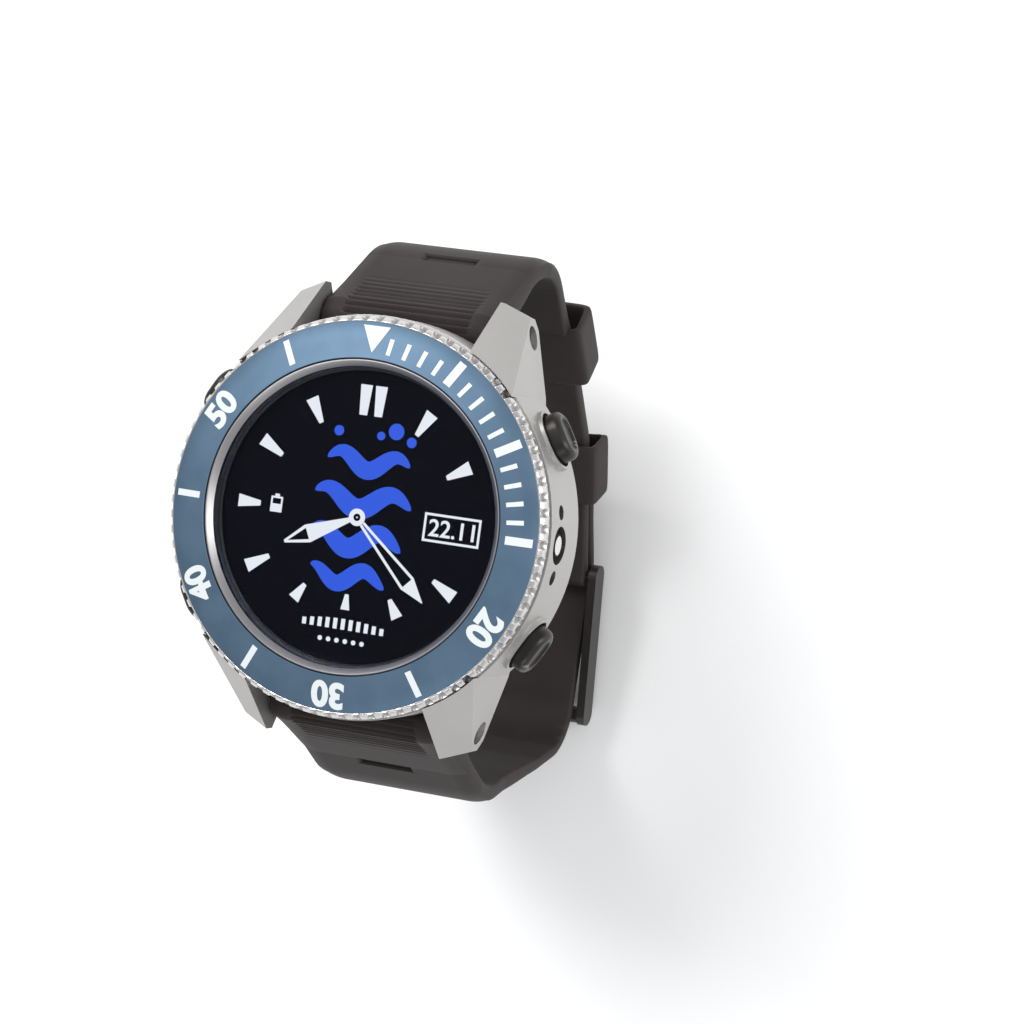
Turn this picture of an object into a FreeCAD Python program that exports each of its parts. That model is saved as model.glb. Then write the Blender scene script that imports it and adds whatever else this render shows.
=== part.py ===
"""Wrist dive computer with a rotating bezel, four push-buttons and a buckled rubber strap.

Frame: +Z out through the dial, +Y towards 12 o'clock, +X towards 3 o'clock.  The origin is the
centre of the case back's wrist side.  Units are millimetres and degrees.
"""

import FreeCAD, Part
import math
import os

V = FreeCAD.Vector

past = 1.0                # how far a cutting shape runs past a face
far = 60.0                # reach of a cutting shape that only needs to clear the part

# ---------------------------------------------------------------- driving sizes
# Case
case_r = 23.3             # outer radius of the middle case
case_bottom_z = 1.7       # lower edge of the middle case
case_deck_z = 12.0        # deck that the bezel turns on
case_edge = 0.5           # bevel of the lower edge
module_bore_r = 17.5      # bore that holds the electronics
neck_r = 19.6             # upstand that the bezel turns round
neck_top_z = 13.3
ledge_z = 12.05           # ledge under the crystal ring
bezel_side_gap = 0.15     # between the lugs and the bezel

# Case back
back_r = 20.6
back_t = case_bottom_z
back_edge = 0.6           # bevel of its wrist side
back_fit = 0.05           # radial clearance in the case's recess
back_spigot_fit = 0.1
back_spigot_w = 1.5
back_spigot_t = 1.0
back_screw_count = 6
back_screw_ring_r = 19.6
back_screw_head_r = 0.8
back_screw_head_t = 0.6
back_screw_r = 0.5
back_screw_length = 3.4
back_screw_sink = 0.05    # of the heads under the wrist side
back_slot_w = 0.3
back_slot_depth = 0.3
gasket_r = 18.3           # mean radius of the case back gasket
gasket_w = 0.8
gasket_t = 0.7

# Crystal and its ring
crystal_r = 17.25
crystal_t = 1.6
crystal_ring_r = 18.05
crystal_ring_top_z = 14.85
crystal_edge = 0.2        # bevel of the crystal
crystal_fit = 0.02        # radial clearance of the crystal in its ring
crystal_ring_lip = 0.4
crystal_ring_edge = 0.1   # upright part of the ring above the crystal's bevel
crystal_gasket_t = 0.3
crystal_z = 12.6

# Bezel
bezel_r = 23.1
bezel_gap_z = 0.1         # clearance over the deck
bezel_rim_z = 14.0
bezel_rim_bevel = 0.65    # down the side
bezel_rim_bevel_w = 0.55  # across the top
bezel_notches = 80
bezel_notch_r = 0.42
bezel_notch_out = 0.12    # of a notch's centre past the bezel's side
bezel_notch_deep = 0.55   # of a notch below the bevel
bezel_rim_w = 0.7         # of the rim outside the insert
insert_outer_r = bezel_r - bezel_rim_w
insert_gap = 0.1          # between the insert and the crystal's ring
insert_inner_r = crystal_ring_r + insert_gap
insert_inner_z = 15.0
insert_t = 0.7
bezel_turn_gap = 0.05     # running clearance round the neck
wire_w = 0.5              # retaining wire, radial
wire_t = 0.3
wire_z = 12.5
wire_gap = 0.1            # clearance round the wire in the bezel's groove
bezel_gasket_t = 0.25
bezel_gasket_w = 0.3
bezel_gasket_z = 12.98
click_spring_r = 21.1     # mean radius of the flat click spring
click_spring_w = 1.0
click_spring_t = 0.3
click_spring_sink = 0.05  # of the spring below the deck

# Lugs and strap bars
lug_gap = 22.0            # strap width at the case
lug_tip_y = 26.7
lug_side_top = (16.8, 16.4)   # outer side of a lug in plan, beside the bezel
lug_side_tip = (14.5, 25.3)   # and at its tip
lug_top_z = 12.5          # height of a lug's inner edge beside the bezel
lug_top_y = 20.7
lug_tip_z = 4.6           # height of its inner edge at the tip
lug_tip_drop = 1.3        # fall of the tip from its inner to its outer corner
lug_under_z = 0.9
lug_bury = 4.0            # of the lug's foot in the case
lug_flare = 0.6           # of its side towards the foot
lug_block_h = 14.0
lug_nose = 1.0            # height of the tip's upright face below its inner edge
bar_y = 23.1              # strap bars
bar_z = 3.2
bar_r = 0.9
bar_fit = 0.05            # radial clearance of a bar in a lug
bar_turn_gap = 0.1        # radial clearance of a strap on its bar
bar_screw_r = 1.3
bar_screw_t = 1.0
bar_screw_x = 13.2        # inner end of a bar screw's head
bar_screw_gap = 0.1
bar_slot_w = 0.45

# Buttons, at four places round the case
button_angle = 30.0       # from the 3-9 line
button_z = 6.7
button_w = 5.9            # along the case
button_h = 4.6            # across the case
button_face_r = 25.5      # distance of a cap's face from the dial's centre
button_cap_t = 3.2
button_travel = 0.8
button_pocket_gap = 0.35
button_pocket_r = 21.3    # distance of the pocket's floor
guard_r = 23.7            # distance of the rim of the guard round a pocket
guard_wall = 0.7
stem_r = 0.8
stem_gap = 0.06
stem_end_r = 17.75
stem_in_cap = 2.2         # length of the stem inside the cap
cap_well_gap = 0.2        # between a tube and the well under the cap, radially
cap_well_depth = 1.2
tube_r = 1.5
tube_in_r = 18.2
seal_w = 0.35
seal_t = 0.6
button_edge = 0.7
spring_wire = 0.32        # side of its square wire
spring_turns = 3
switch_r = 1.4            # snap switch behind each stem
switch_t = 0.4
switch_dome_r = 0.9
switch_dome_t = 0.25
switch_gap = 0.05         # left under the stem at the end of its travel

# Pressure port on the 3 o'clock side
port_z = 8.6
port_r = 2.2
port_floor_x = 20.6
port_plug_r = 1.4
port_plug_x = 23.15
port_hole_r = 0.85
port_hole_y = 3.75
port_hole_depth = 1.8
port_web = 0.4            # wall between the port's floor and the sensor
sensor_r = 2.6
sensor_seal_w = 0.3
sensor_seal_t = 1.0
sensor_in_x = 17.6

# Strap: side profile of each leaf's centre line, (y, z)
strap_t = 2.3
strap_root_t = 5.0        # thickness where a leaf wraps its bar
strap_root_length = 12.0  # over which that thins out
strap_side_gap = 0.2      # between strap and lug
strap_taper = 2.4         # of the width, from the case to the back of the wrist
strap_back_w = lug_gap - strap_taper
strap_taper_z0 = -13.0    # heights between which the taper lies
strap_taper_z1 = -25.0
joint_gap = 0.3           # between two strap stretches that flex about one line
tail_t = 1.7
upper_peak = (34.7, -12.8)
upper_peak_r = 11.7
upper_bend = (23.6, -29.2)
upper_bend_r = 16.0
upper_flex = (15.6, -37.48)
upper_knee = (12.1, -40.5)
upper_knee_r = 7.0
buckle_pivot = (-5.8, -47.9)
lower_peak = (-33.35, -16.05)
lower_peak_r = 16.0
lower_turn = (-28.2, -50.0)
lower_turn_r = 7.0
lower_entry_y = -21.8
tail_tip = 1.4            # of the tail past the knee of the upper strap end
tail_rise = 2.75          # tail's centre line outside the buckle pivot
tail_gap = 0.2            # between the tail and the upper strap end
tail_lift = (strap_t + tail_t) / 2 + tail_gap    # of its centre line outside that end
tail_entry_rise = 0.4     # of the tail under the buckle's end bar
tail_lead = 7.0           # from the pivot back to where the tail lies on the upper end
tail_radii = (12.0, 8.0, 16.0)   # of its bends under and over the buckle

# Keepers
keeper_over = 0.8         # of a keeper past the strap's width at the case
keeper_w = lug_gap + keeper_over
keeper_wall = 0.9
keeper_gap = 0.3
slide_keeper_length = 8.0
slide_keeper_at = 4.3     # from the knee of the upper strap end to the keeper's middle
slide_keeper_bevel = 1.0
fixed_keeper_at = 0.7     # from the bend of the upper strap to the keeper's middle
fixed_keeper_length = 9.2
fixed_keeper_bevel = 1.6

# Buckle
buckle_over = 0.8         # of the buckle past the strap's width at the case
buckle_w = lug_gap + buckle_over
buckle_plate_t = 1.1
buckle_length = 21.8
buckle_tail = 1.5         # of the plates behind the pivot
buckle_inner_n = -1.2     # plates' inner and outer edges, from the pivot outwards
buckle_outer_n = 2.3
buckle_corner = 1.6
buckle_end_bar_l = 1.9
buckle_end_bar_n = 0.55
buckle_tilt = 9.2         # slope of the buckle's plane
buckle_bar_r = 0.7
buckle_bar_end = 0.4      # wall outside each end of the bar
buckle_rim_in = 0.2       # of the end bar from the plates' outer faces
buckle_wrap_r = 1.45
tang_w = 1.8
tang_t = 0.8
tang_eye_r = 1.35
tang_gap = 0.08
tang_slot = 1.2           # radial room for the eye in the strap's end
tang_root_u = 1.6         # where the tongue leaves its eye
tang_hump_l = 3.0
tang_tip_l = 2.6          # flat end that rests on the end bar
tang_tip_t = 0.5
tang_rest = 0.05          # over the end bar
tang_hump_u = 6.0         # where the tang has come out through the tail
tang_hump_n = 3.45
tang_hole_u0 = -0.4       # the tail's hole, along the buckle
tang_hole_u1 = 6.4

# Electronics
display_r = 16.85
display_top_z = 12.5
display_t = 1.0
backlight_r = 16.6
backlight_t = 0.5
frame_r = 17.3
frame_wall = 1.0
frame_bottom_z = 3.0
frame_shelf_r = 14.4
frame_shelf_t = 1.0
frame_web_w = 2.0
frame_lap = 0.5           # of shelf and webs into the wall
holder_gap = 0.2          # round the battery
holder_wall = 0.8
board_cut_x = 14.4        # flat of the board beside the pressure sensor
board_cut_w = 6.4
chip_edge = 0.12
board_r = 15.9
board_z = 8.2
board_t = 0.8
battery_r = 11.6
battery_t = 4.2
battery_bottom_z = 3.6
battery_pad_t = 0.3
battery_pad_in = 1.5      # of its edge inside the battery's
charging_pin_r = 0.6
charging_pin_pitch = 2.2
charging_pin_count = 4
charging_pin_y = -12.0
charging_pin_sink = 0.05
charging_pin_head = 0.6   # inside the case
buzzer_r = 4.6
buzzer_t = 0.4
buzzer_y = 6.0
motor_r = 1.7
motor_t = 2.4
motor_x = 14.45
motor_lift = 0.4          # over the underside of the battery


# ---------------------------------------------------------------- shape helpers
def cylinder(r, z_low, z_high, x=0.0, y=0.0):
    return Part.makeCylinder(r, z_high - z_low, V(x, y, z_low))


def ring(r_in, r_out, z_low, z_high):
    return cylinder(r_out, z_low, z_high).cut(cylinder(r_in, z_low - past, z_high + past))


def box(x0, x1, y0, y1, z0, z1):
    return Part.makeBox(x1 - x0, y1 - y0, z1 - z0, V(x0, y0, z0))


def bar_along_x(r, x0, x1, y, z):
    return Part.makeCylinder(r, x1 - x0, V(x0, y, z), V(1, 0, 0))


def revolved(points):
    """Turn a closed (radius, z) outline round the Z axis."""
    outline = [V(r, 0, z) for r, z in points]
    outline.append(outline[0])
    return Part.Face(Part.makePolygon(outline)).revolve(V(0, 0, 0), V(0, 0, 1), 360)


def one_solid(shape):
    clean = shape.removeSplitter()
    return clean.Solids[0] if len(clean.Solids) == 1 else clean


def fused(first, *others):
    return one_solid(first.multiFuse(list(others)))


def turned(shape, degrees):
    """A copy of a shape turned about the dial's axis."""
    copy = shape.copy()
    copy.rotate(V(0, 0, 0), V(0, 0, 1), degrees)
    return copy


def mirrored_y(shape):
    return shape.mirror(V(0, 0, 0), V(0, 1, 0))


def mirrored_x(shape):
    return shape.mirror(V(0, 0, 0), V(1, 0, 0))


def save(name, shape):
    shape.exportStep("parts/" + name + ".step")


def minus(a, b):
    return (a[0] - b[0], a[1] - b[1])


def plus(a, b, k=1.0):
    return (a[0] + k * b[0], a[1] + k * b[1])


def unit(a):
    length = math.hypot(a[0], a[1])
    return (a[0] / length, a[1] / length)


def outward(direction):
    """Normal of a strap direction, away from the wrist for a leaf that runs from 12 to 6."""
    return (-direction[1], direction[0])


def rounded_path(points, radii):
    """Straight runs joined by tangent arcs, as a list of (start, end, centre or None)."""
    runs = []
    last = points[0]
    for before, corner, after, radius in zip(points, points[1:], points[2:], radii):
        d1 = unit(minus(corner, before))
        d2 = unit(minus(after, corner))
        turn = math.acos(d1[0] * d2[0] + d1[1] * d2[1])
        reach = radius * math.tan(turn / 2)
        start = plus(corner, d1, -reach)
        end = plus(corner, d2, reach)
        side = 1 if d1[0] * d2[1] - d1[1] * d2[0] > 0 else -1
        centre = plus(start, (-d1[1] * side, d1[0] * side), radius)
        runs.append((last, start, None))
        runs.append((start, end, centre))
        last = end
    runs.append((last, points[-1], None))
    return runs


def offset_edges(runs, shift):
    """Edges of a rounded path moved sideways by shift, to the left of its direction."""
    edges = []
    for start, end, centre in runs:
        if centre is None:
            side = outward(unit(minus(end, start)))
            a = plus(start, side, shift)
            b = plus(end, side, shift)
            edges.append(Part.LineSegment(V(0, *a), V(0, *b)).toShape())
            continue
        u = unit(minus(start, centre))
        w = unit(minus(end, centre))
        radius = math.hypot(*minus(start, centre))
        left = u[0] * w[1] - u[1] * w[0] > 0
        radius += -shift if left else shift
        middle = unit(plus(u, w))
        a, m, b = [V(0, *plus(centre, k, radius)) for k in (u, middle, w)]
        edges.append(Part.Arc(a, m, b).toShape())
    return edges


def leaf(runs, thickness, half_width):
    """A strap leaf: the band of given thickness about a path, drawn out across the wrist."""
    one = offset_edges(runs, thickness / 2)
    two = offset_edges(runs, -thickness / 2)
    a0, a1 = one[0].Vertexes[0].Point, one[-1].Vertexes[-1].Point
    b0, b1 = two[0].Vertexes[0].Point, two[-1].Vertexes[-1].Point
    ends = [Part.makeLine(a1, b1), Part.makeLine(b0, a0)]
    wire = Part.Wire(Part.__sortEdges__(one + two + ends))
    face = Part.Face(wire)
    face.translate(V(-half_width, 0, 0))
    return face.extrude(V(2 * half_width, 0, 0))


def plate_x(points, x0, x1):
    """A (y, z) outline drawn out from x0 to x1."""
    outline = [V(x0, y, z) for y, z in points]
    outline.append(outline[0])
    return Part.Face(Part.makePolygon(outline)).extrude(V(x1 - x0, 0, 0))


# ---------------------------------------------------------------- strap lines
lug_half = lug_gap / 2
root_half_width = lug_half - strap_side_gap
back_half_width = strap_back_w / 2
upper_bar = (bar_y, bar_z)
lower_bar = (-bar_y, bar_z)
lower_flex = (upper_flex[0] - 2 * bar_y, upper_flex[1])

end_dir = unit(minus(buckle_pivot, upper_knee))
end_out = outward(end_dir)
tilt = math.radians(buckle_tilt)
buckle_dir = (-math.cos(tilt), -math.sin(tilt))
buckle_out = outward(buckle_dir)


def at_buckle(u, n):
    """A point u along the buckle from its pivot and n outwards."""
    return plus(plus(buckle_pivot, buckle_dir, u), buckle_out, n)


def at_end(s, n):
    """A point s along the upper strap end from its knee and n outwards."""
    return plus(plus(upper_knee, end_dir, s), end_out, n)


end_length = math.hypot(*minus(buckle_pivot, upper_knee))
upper_runs = rounded_path([upper_bar, upper_peak, upper_bend, upper_flex],
                          [upper_peak_r, upper_bend_r])
end_runs = rounded_path([upper_flex, upper_knee, buckle_pivot], [upper_knee_r])
lower_runs = rounded_path([lower_bar, lower_peak, lower_flex], [lower_peak_r])
tail_over = plus(buckle_pivot, unit(plus(end_out, buckle_out)), tail_rise)
tail_runs = rounded_path(
    [lower_flex, lower_turn, (lower_entry_y, lower_turn[1] + tail_entry_rise), tail_over,
     at_end(end_length - tail_lead, tail_lift), at_end(-tail_tip, tail_lift)],
    [lower_turn_r, *tail_radii])


def taper_cutter():
    """Wedges that bring a leaf from its root width to its width along the back."""
    wedges = []
    for side in (1, -1):
        outer = side * (root_half_width + past)
        inner = side * back_half_width
        points = [V(side * root_half_width, -far, strap_taper_z0), V(inner, -far, strap_taper_z1),
                  V(inner, -far, -far), V(outer, -far, -far), V(outer, -far, strap_taper_z0)]
        face = Part.Face(Part.makePolygon(points + [points[0]]))
        wedges.append(face.extrude(V(0, 2 * far, 0)))
    return wedges[0].fuse(wedges[1])


def strap_root(bar, direction, sign):
    """The thick end that wraps a strap bar and thins out along the leaf."""
    out = outward(direction) if sign > 0 else (direction[1], -direction[0])
    half = strap_root_t / 2
    far = plus(bar, direction, strap_root_length)
    points = [plus(bar, out, half), plus(far, out, strap_t / 2),
              plus(far, out, -strap_t / 2), plus(bar, out, -half)]
    wedge = plate_x(points, -root_half_width, root_half_width)
    return wedge.fuse(bar_along_x(half, -root_half_width, root_half_width, *bar))


def convex_end(flex, thickness, half_width):
    return bar_along_x(thickness / 2, -half_width, half_width, *flex)


# ---------------------------------------------------------------- middle case with its lugs
def lug():
    """The lug at 1 o'clock: a block with a sloping top and a straight outer side."""
    foot_y = lug_side_top[1] - lug_bury
    plan = [(lug_half, foot_y), (lug_half, lug_tip_y), lug_side_tip, lug_side_top,
            (lug_side_top[0] + lug_flare, foot_y)]
    outline = [V(x, y, lug_under_z) for x, y in plan]
    outline.append(outline[0])
    block = Part.Face(Part.makePolygon(outline)).extrude(V(0, 0, lug_block_h))
    a = V(lug_half, lug_top_y, lug_top_z)
    b = V(lug_half, lug_tip_y, lug_tip_z)
    c = V(lug_side_tip[0], lug_side_tip[1], lug_tip_z - lug_tip_drop)
    up = (c - a).cross(b - a).normalize()
    above = Part.makeBox(2 * far, 2 * far, far, V(-far, -far, 0))
    above.Placement = FreeCAD.Placement(a, FreeCAD.Rotation(V(0, 0, 1), up)).multiply(above.Placement)
    under = plate_x([(lug_tip_y + past, lug_tip_z - lug_nose), (lug_tip_y + past, -far),
                     (bar_y + past, -far), (bar_y + past, lug_under_z)], 0, far)
    return block.cut(above).cut(under)


def obround(width, height, r0, r1, z):
    """A slot-shaped prism along +X from r0 to r1, width along Y and height along Z."""
    half = (width - height) / 2
    core = box(r0, r1, -half, half, z - height / 2, z + height / 2)
    ends = [bar_along_x(height / 2, r0, r1, side * half, z) for side in (1, -1)]
    return fused(core, *ends)


def button_places():
    return {"2": button_angle, "10": 180 - button_angle, "8": 180 + button_angle, "4": -button_angle}


def screw_places():
    step = 360 / back_screw_count
    angles = [math.radians(step * (k + 0.5)) for k in range(back_screw_count)]
    return [(back_screw_ring_r * math.cos(a), back_screw_ring_r * math.sin(a)) for a in angles]


def lug_cutters():
    """Room for the strap between the lugs, holes for its bars and counterbores for their screws."""
    half = strap_root_t / 2 + joint_gap
    cutters = []
    for sign in (1, -1):
        y0, y1 = sorted((sign * (bar_y - half), sign * far))
        cutters.append(box(-lug_half, lug_half, y0, y1, -far, bar_z + half + joint_gap))
        cutters.append(bar_along_x(bar_r + bar_fit, -far, far, sign * bar_y, bar_z))
        for side in (1, -1):
            x0, x1 = sorted((side * bar_screw_x, side * far))
            cutters.append(bar_along_x(bar_screw_r + bar_screw_gap, x0, x1, sign * bar_y, bar_z))
    return cutters


def button_cutters():
    """For each button: a pocket, a bore for its tube and a hole for its stem."""
    cutters = []
    for angle in button_places().values():
        pocket = obround(button_w + 2 * button_pocket_gap, button_h + 2 * button_pocket_gap,
                         button_pocket_r, far, button_z)
        tube_bore = bar_along_x(tube_r, tube_in_r, far, 0, button_z)
        stem_hole = bar_along_x(stem_r + stem_gap, frame_shelf_r, far, 0, button_z)
        cutters += [turned(one, angle) for one in (pocket, tube_bore, stem_hole)]
    return cutters


def port_cutters():
    """The pressure port, its two small holes and the seat of the sensor behind it."""
    cutters = [bar_along_x(port_r, port_floor_x, far, 0, port_z),
               bar_along_x(sensor_r, frame_shelf_r, port_floor_x - port_web, 0, port_z),
               bar_along_x(port_plug_r, port_floor_x - past, far, 0, port_z)]
    for side in (1, -1):
        cutters.append(bar_along_x(port_hole_r, case_r - port_hole_depth, far, side * port_hole_y, port_z))
    return cutters


def groove_cutters():
    """Grooves for the two gaskets, the bezel's click spring and its retaining wire."""
    return [ring(gasket_r - gasket_w / 2, gasket_r + gasket_w / 2,
                 case_bottom_z - past, case_bottom_z + gasket_t),
            ring(click_spring_r - click_spring_w / 2, click_spring_r + click_spring_w / 2,
                 case_deck_z - click_spring_t - click_spring_sink, case_deck_z + past),
            ring(neck_r - wire_w / 2, neck_r + past, wire_z, wire_z + wire_t),
            ring(neck_r - bezel_gasket_w, neck_r + past, bezel_gasket_z, bezel_gasket_z + bezel_gasket_t)]


def case_middle():
    body = revolved([(module_bore_r, case_bottom_z), (case_r - case_edge, case_bottom_z),
                     (case_r, case_bottom_z + case_edge), (case_r, case_deck_z), (neck_r, case_deck_z),
                     (neck_r, neck_top_z), (crystal_ring_r, neck_top_z), (crystal_ring_r, ledge_z),
                     (module_bore_r, ledge_z)])
    first = lug()
    lugs = [first, mirrored_x(first), mirrored_y(first), mirrored_x(mirrored_y(first))]
    bore = cylinder(module_bore_r, -far, far)
    bezel_room = cylinder(bezel_r + bezel_side_gap, case_deck_z, far)
    lugs = [one.cut(bezel_room).cut(bore) for one in lugs]
    guards = []
    for angle in button_places().values():
        guard = obround(button_w + 2 * guard_wall, button_h + 2 * guard_wall,
                        button_pocket_r, guard_r, button_z)
        guards.append(turned(guard, angle))
    body = body.multiFuse(lugs + guards)
    recess = cylinder(back_r + back_fit, -far, case_bottom_z)
    screw_holes = [cylinder(back_screw_r, 0, back_screw_length, *at) for at in screw_places()]
    cutters = [recess, *screw_holes, *lug_cutters(), *button_cutters(), *port_cutters(), *groove_cutters()]
    return one_solid(body.cut(Part.makeCompound(cutters)))


# ---------------------------------------------------------------- case back, crystal, bezel
def pin_places():
    first = -(charging_pin_count - 1) * charging_pin_pitch / 2
    return [(first + k * charging_pin_pitch, charging_pin_y) for k in range(charging_pin_count)]


def case_back():
    spigot_r = module_bore_r - back_spigot_fit
    plate = revolved([(0, 0), (back_r - back_edge, 0), (back_r, back_edge), (back_r, back_t),
                      (spigot_r, back_t), (spigot_r, back_t + back_spigot_t),
                      (spigot_r - back_spigot_w, back_t + back_spigot_t), (spigot_r - back_spigot_w, back_t),
                      (0, back_t)])
    cutters = []
    for at in screw_places():
        cutters.append(cylinder(back_screw_r, -past, far, *at))
        cutters.append(cylinder(back_screw_head_r, -past, back_screw_head_t, *at))
    for at in pin_places():
        cutters.append(cylinder(charging_pin_r, -past, far, *at))
    return one_solid(plate.cut(Part.makeCompound(cutters)))


def back_screws():
    screws = []
    for x, y in screw_places():
        head = cylinder(back_screw_head_r, back_screw_sink, back_screw_head_t, x, y)
        slot = box(x - back_screw_head_r, x + back_screw_head_r, y - back_slot_w / 2, y + back_slot_w / 2,
                   0, back_slot_depth)
        shank = cylinder(back_screw_r, back_screw_head_t, back_screw_length, x, y)
        screws.append(fused(head.cut(slot), shank))
    return Part.makeCompound(screws)


def crystal():
    top = crystal_z + crystal_t
    return revolved([(0, crystal_z), (crystal_r, crystal_z), (crystal_r, top - crystal_edge),
                     (crystal_r - crystal_edge, top), (0, top)])


def crystal_ring():
    """The polished ring that holds the crystal, with a sloping face inside its rim."""
    inner = crystal_r + crystal_fit
    lip = crystal_r - crystal_ring_lip
    top = crystal_z + crystal_t
    seat = crystal_z - crystal_gasket_t
    return revolved([(lip, ledge_z), (crystal_ring_r, ledge_z), (crystal_ring_r, crystal_ring_top_z),
                     (inner, top - crystal_ring_edge), (inner, seat), (lip, seat)])


def bezel_ring():
    inner = neck_r + bezel_turn_gap
    low = case_deck_z + bezel_gap_z
    over_neck = neck_top_z + bezel_gap_z
    body = revolved([(inner, low), (bezel_r, low), (bezel_r, bezel_rim_z - bezel_rim_bevel),
                     (bezel_r - bezel_rim_bevel_w, bezel_rim_z), (insert_outer_r, bezel_rim_z),
                     (insert_outer_r, bezel_rim_z - insert_t), (insert_inner_r, insert_inner_z - insert_t),
                     (insert_inner_r, over_neck), (inner, over_neck)])
    wire_room = ring(neck_r, neck_r + wire_w / 2 + wire_gap, wire_z - wire_gap, wire_z + wire_t + wire_gap)
    notch_low = bezel_rim_z - bezel_rim_bevel - bezel_notch_deep
    notch_at = bezel_r + bezel_notch_out
    notches = []
    for k in range(bezel_notches):
        a = math.radians(360 / bezel_notches * (k + 0.5))
        notches.append(cylinder(bezel_notch_r, notch_low, far, notch_at * math.cos(a), notch_at * math.sin(a)))
    return one_solid(body.cut(Part.makeCompound(notches + [wire_room])))


def bezel_insert():
    return revolved([(insert_inner_r, insert_inner_z - insert_t), (insert_outer_r, bezel_rim_z - insert_t),
                     (insert_outer_r, bezel_rim_z), (insert_inner_r, insert_inner_z)])


# ---------------------------------------------------------------- buttons, drawn at 3 o'clock
cap_back_r = button_face_r - button_cap_t
stem_groove_r = (stem_end_r + button_pocket_r) / 2


def button_cap():
    cap = obround(button_w, button_h, cap_back_r, button_face_r, button_z)
    front = [edge for edge in cap.Edges
             if all(abs(v.Point.x - button_face_r) < 1e-6 for v in edge.Vertexes)]
    cap = cap.makeFillet(button_edge, front)
    well = bar_along_x(tube_r + cap_well_gap, cap_back_r - past, cap_back_r + cap_well_depth, 0, button_z)
    socket = bar_along_x(stem_r, cap_back_r, cap_back_r + stem_in_cap, 0, button_z)
    return one_solid(cap.cut(well).cut(socket))


def button_stem():
    shaft = bar_along_x(stem_r, stem_end_r, cap_back_r + stem_in_cap, 0, button_z)
    return one_solid(shaft.cut(button_seal()))


def button_seal():
    return bar_along_x(stem_r, stem_groove_r, stem_groove_r + seal_t, 0, button_z).cut(
        bar_along_x(stem_r - seal_w, stem_groove_r, stem_groove_r + seal_t, 0, button_z))


def button_tube():
    return bar_along_x(tube_r, tube_in_r, button_pocket_r, 0, button_z).cut(
        bar_along_x(stem_r + stem_gap, tube_in_r, button_pocket_r, 0, button_z))


def button_spring():
    """A coil of square wire between the pocket's floor and the bottom of the cap's well."""
    half = spring_wire / 2
    low = button_pocket_r + half
    high = cap_back_r + cap_well_depth - half
    coil_r = (stem_r + tube_r + cap_well_gap) / 2
    helix = Part.makeHelix((high - low) / spring_turns, high - low, coil_r)
    corners = [V(coil_r + x * half, 0, z * half) for x, z in ((-1, -1), (1, -1), (1, 1), (-1, 1), (-1, -1))]
    coil = Part.Wire(helix).makePipeShell([Part.makePolygon(corners)], True, True)
    coil.Placement = FreeCAD.Placement(V(low, 0, button_z), FreeCAD.Rotation(V(0, 0, 1), V(1, 0, 0)))
    return Part.Solid(Part.Shell(coil.Faces))


switch_top_r = stem_end_r - button_travel - switch_gap
switch_low_r = switch_top_r - switch_dome_t - switch_t


def button_switch():
    """A snap dome that the stem presses."""
    can = bar_along_x(switch_r, switch_low_r, switch_low_r + switch_t, 0, button_z)
    dome = bar_along_x(switch_dome_r, switch_low_r + switch_t, switch_top_r, 0, button_z)
    return fused(can, dome)


# ---------------------------------------------------------------- strap, keepers and buckle
def band(runs, bar, peak, flex, sign):
    """A leaf from its strap bar to its flex line."""
    shape = fused(leaf(runs, strap_t, root_half_width),
                  strap_root(bar, unit(minus(peak, bar)), sign),
                  convex_end(flex, strap_t, root_half_width))
    shape = shape.cut(bar_along_x(bar_r + bar_turn_gap, -far, far, *bar))
    return one_solid(shape.cut(taper_cutter()))


def flex_clearance(flex):
    return bar_along_x(strap_t / 2 + joint_gap, -far, far, *flex)


def upper_end():
    """From the flex line to the buckle pivot, with a slot in its end for the tang."""
    end = leaf(end_runs, strap_t, back_half_width)
    end = fused(end, bar_along_x(buckle_wrap_r, -back_half_width, back_half_width, *buckle_pivot))
    slot_half = tang_w / 2 + joint_gap
    slot = bar_along_x(tang_eye_r + tang_slot, -slot_half, slot_half, *buckle_pivot)
    bar_hole = bar_along_x(buckle_bar_r, -far, far, *buckle_pivot)
    return one_solid(end.cut(flex_clearance(upper_flex)).cut(bar_hole).cut(slot))


def strap_tail():
    """The long leaf from its flex line, under the buckle's end bar, and out over its pivot."""
    tail = leaf(tail_runs, tail_t, back_half_width)
    tail = tail.cut(flex_clearance(lower_flex))
    near = at_buckle(tang_hole_u0, 0)
    end = at_buckle(tang_hole_u1, 0)
    half = tang_w / 2 + joint_gap
    return one_solid(tail.cut(box(-half, half, end[0], near[0], -far, upper_knee[1])))


def keeper_sliding():
    """A loose hoop round the upper strap end and the tail."""
    s0 = slide_keeper_at - slide_keeper_length / 2
    s1 = slide_keeper_at + slide_keeper_length / 2
    low = -strap_t / 2 - keeper_gap
    high = tail_lift + tail_t / 2 + keeper_gap
    under = low - keeper_wall
    top = high + keeper_wall
    half = keeper_w / 2
    outer = plate_x([at_end(s0, under), at_end(s1, under), at_end(s1, top),
                     at_end(s0 + slide_keeper_bevel, top), at_end(s0, top - slide_keeper_bevel)], -half, half)
    window = plate_x([at_end(-far, low), at_end(far, low), at_end(far, high), at_end(-far, high)],
                     -half + keeper_wall, half - keeper_wall)
    return one_solid(outer.cut(window))


def at_bend(s, n):
    """A point s along the upper leaf from its bend towards the flex line, and n outwards."""
    direction = unit(minus(upper_flex, upper_bend))
    return plus(plus(upper_bend, direction, s), outward(direction), n)


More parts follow.
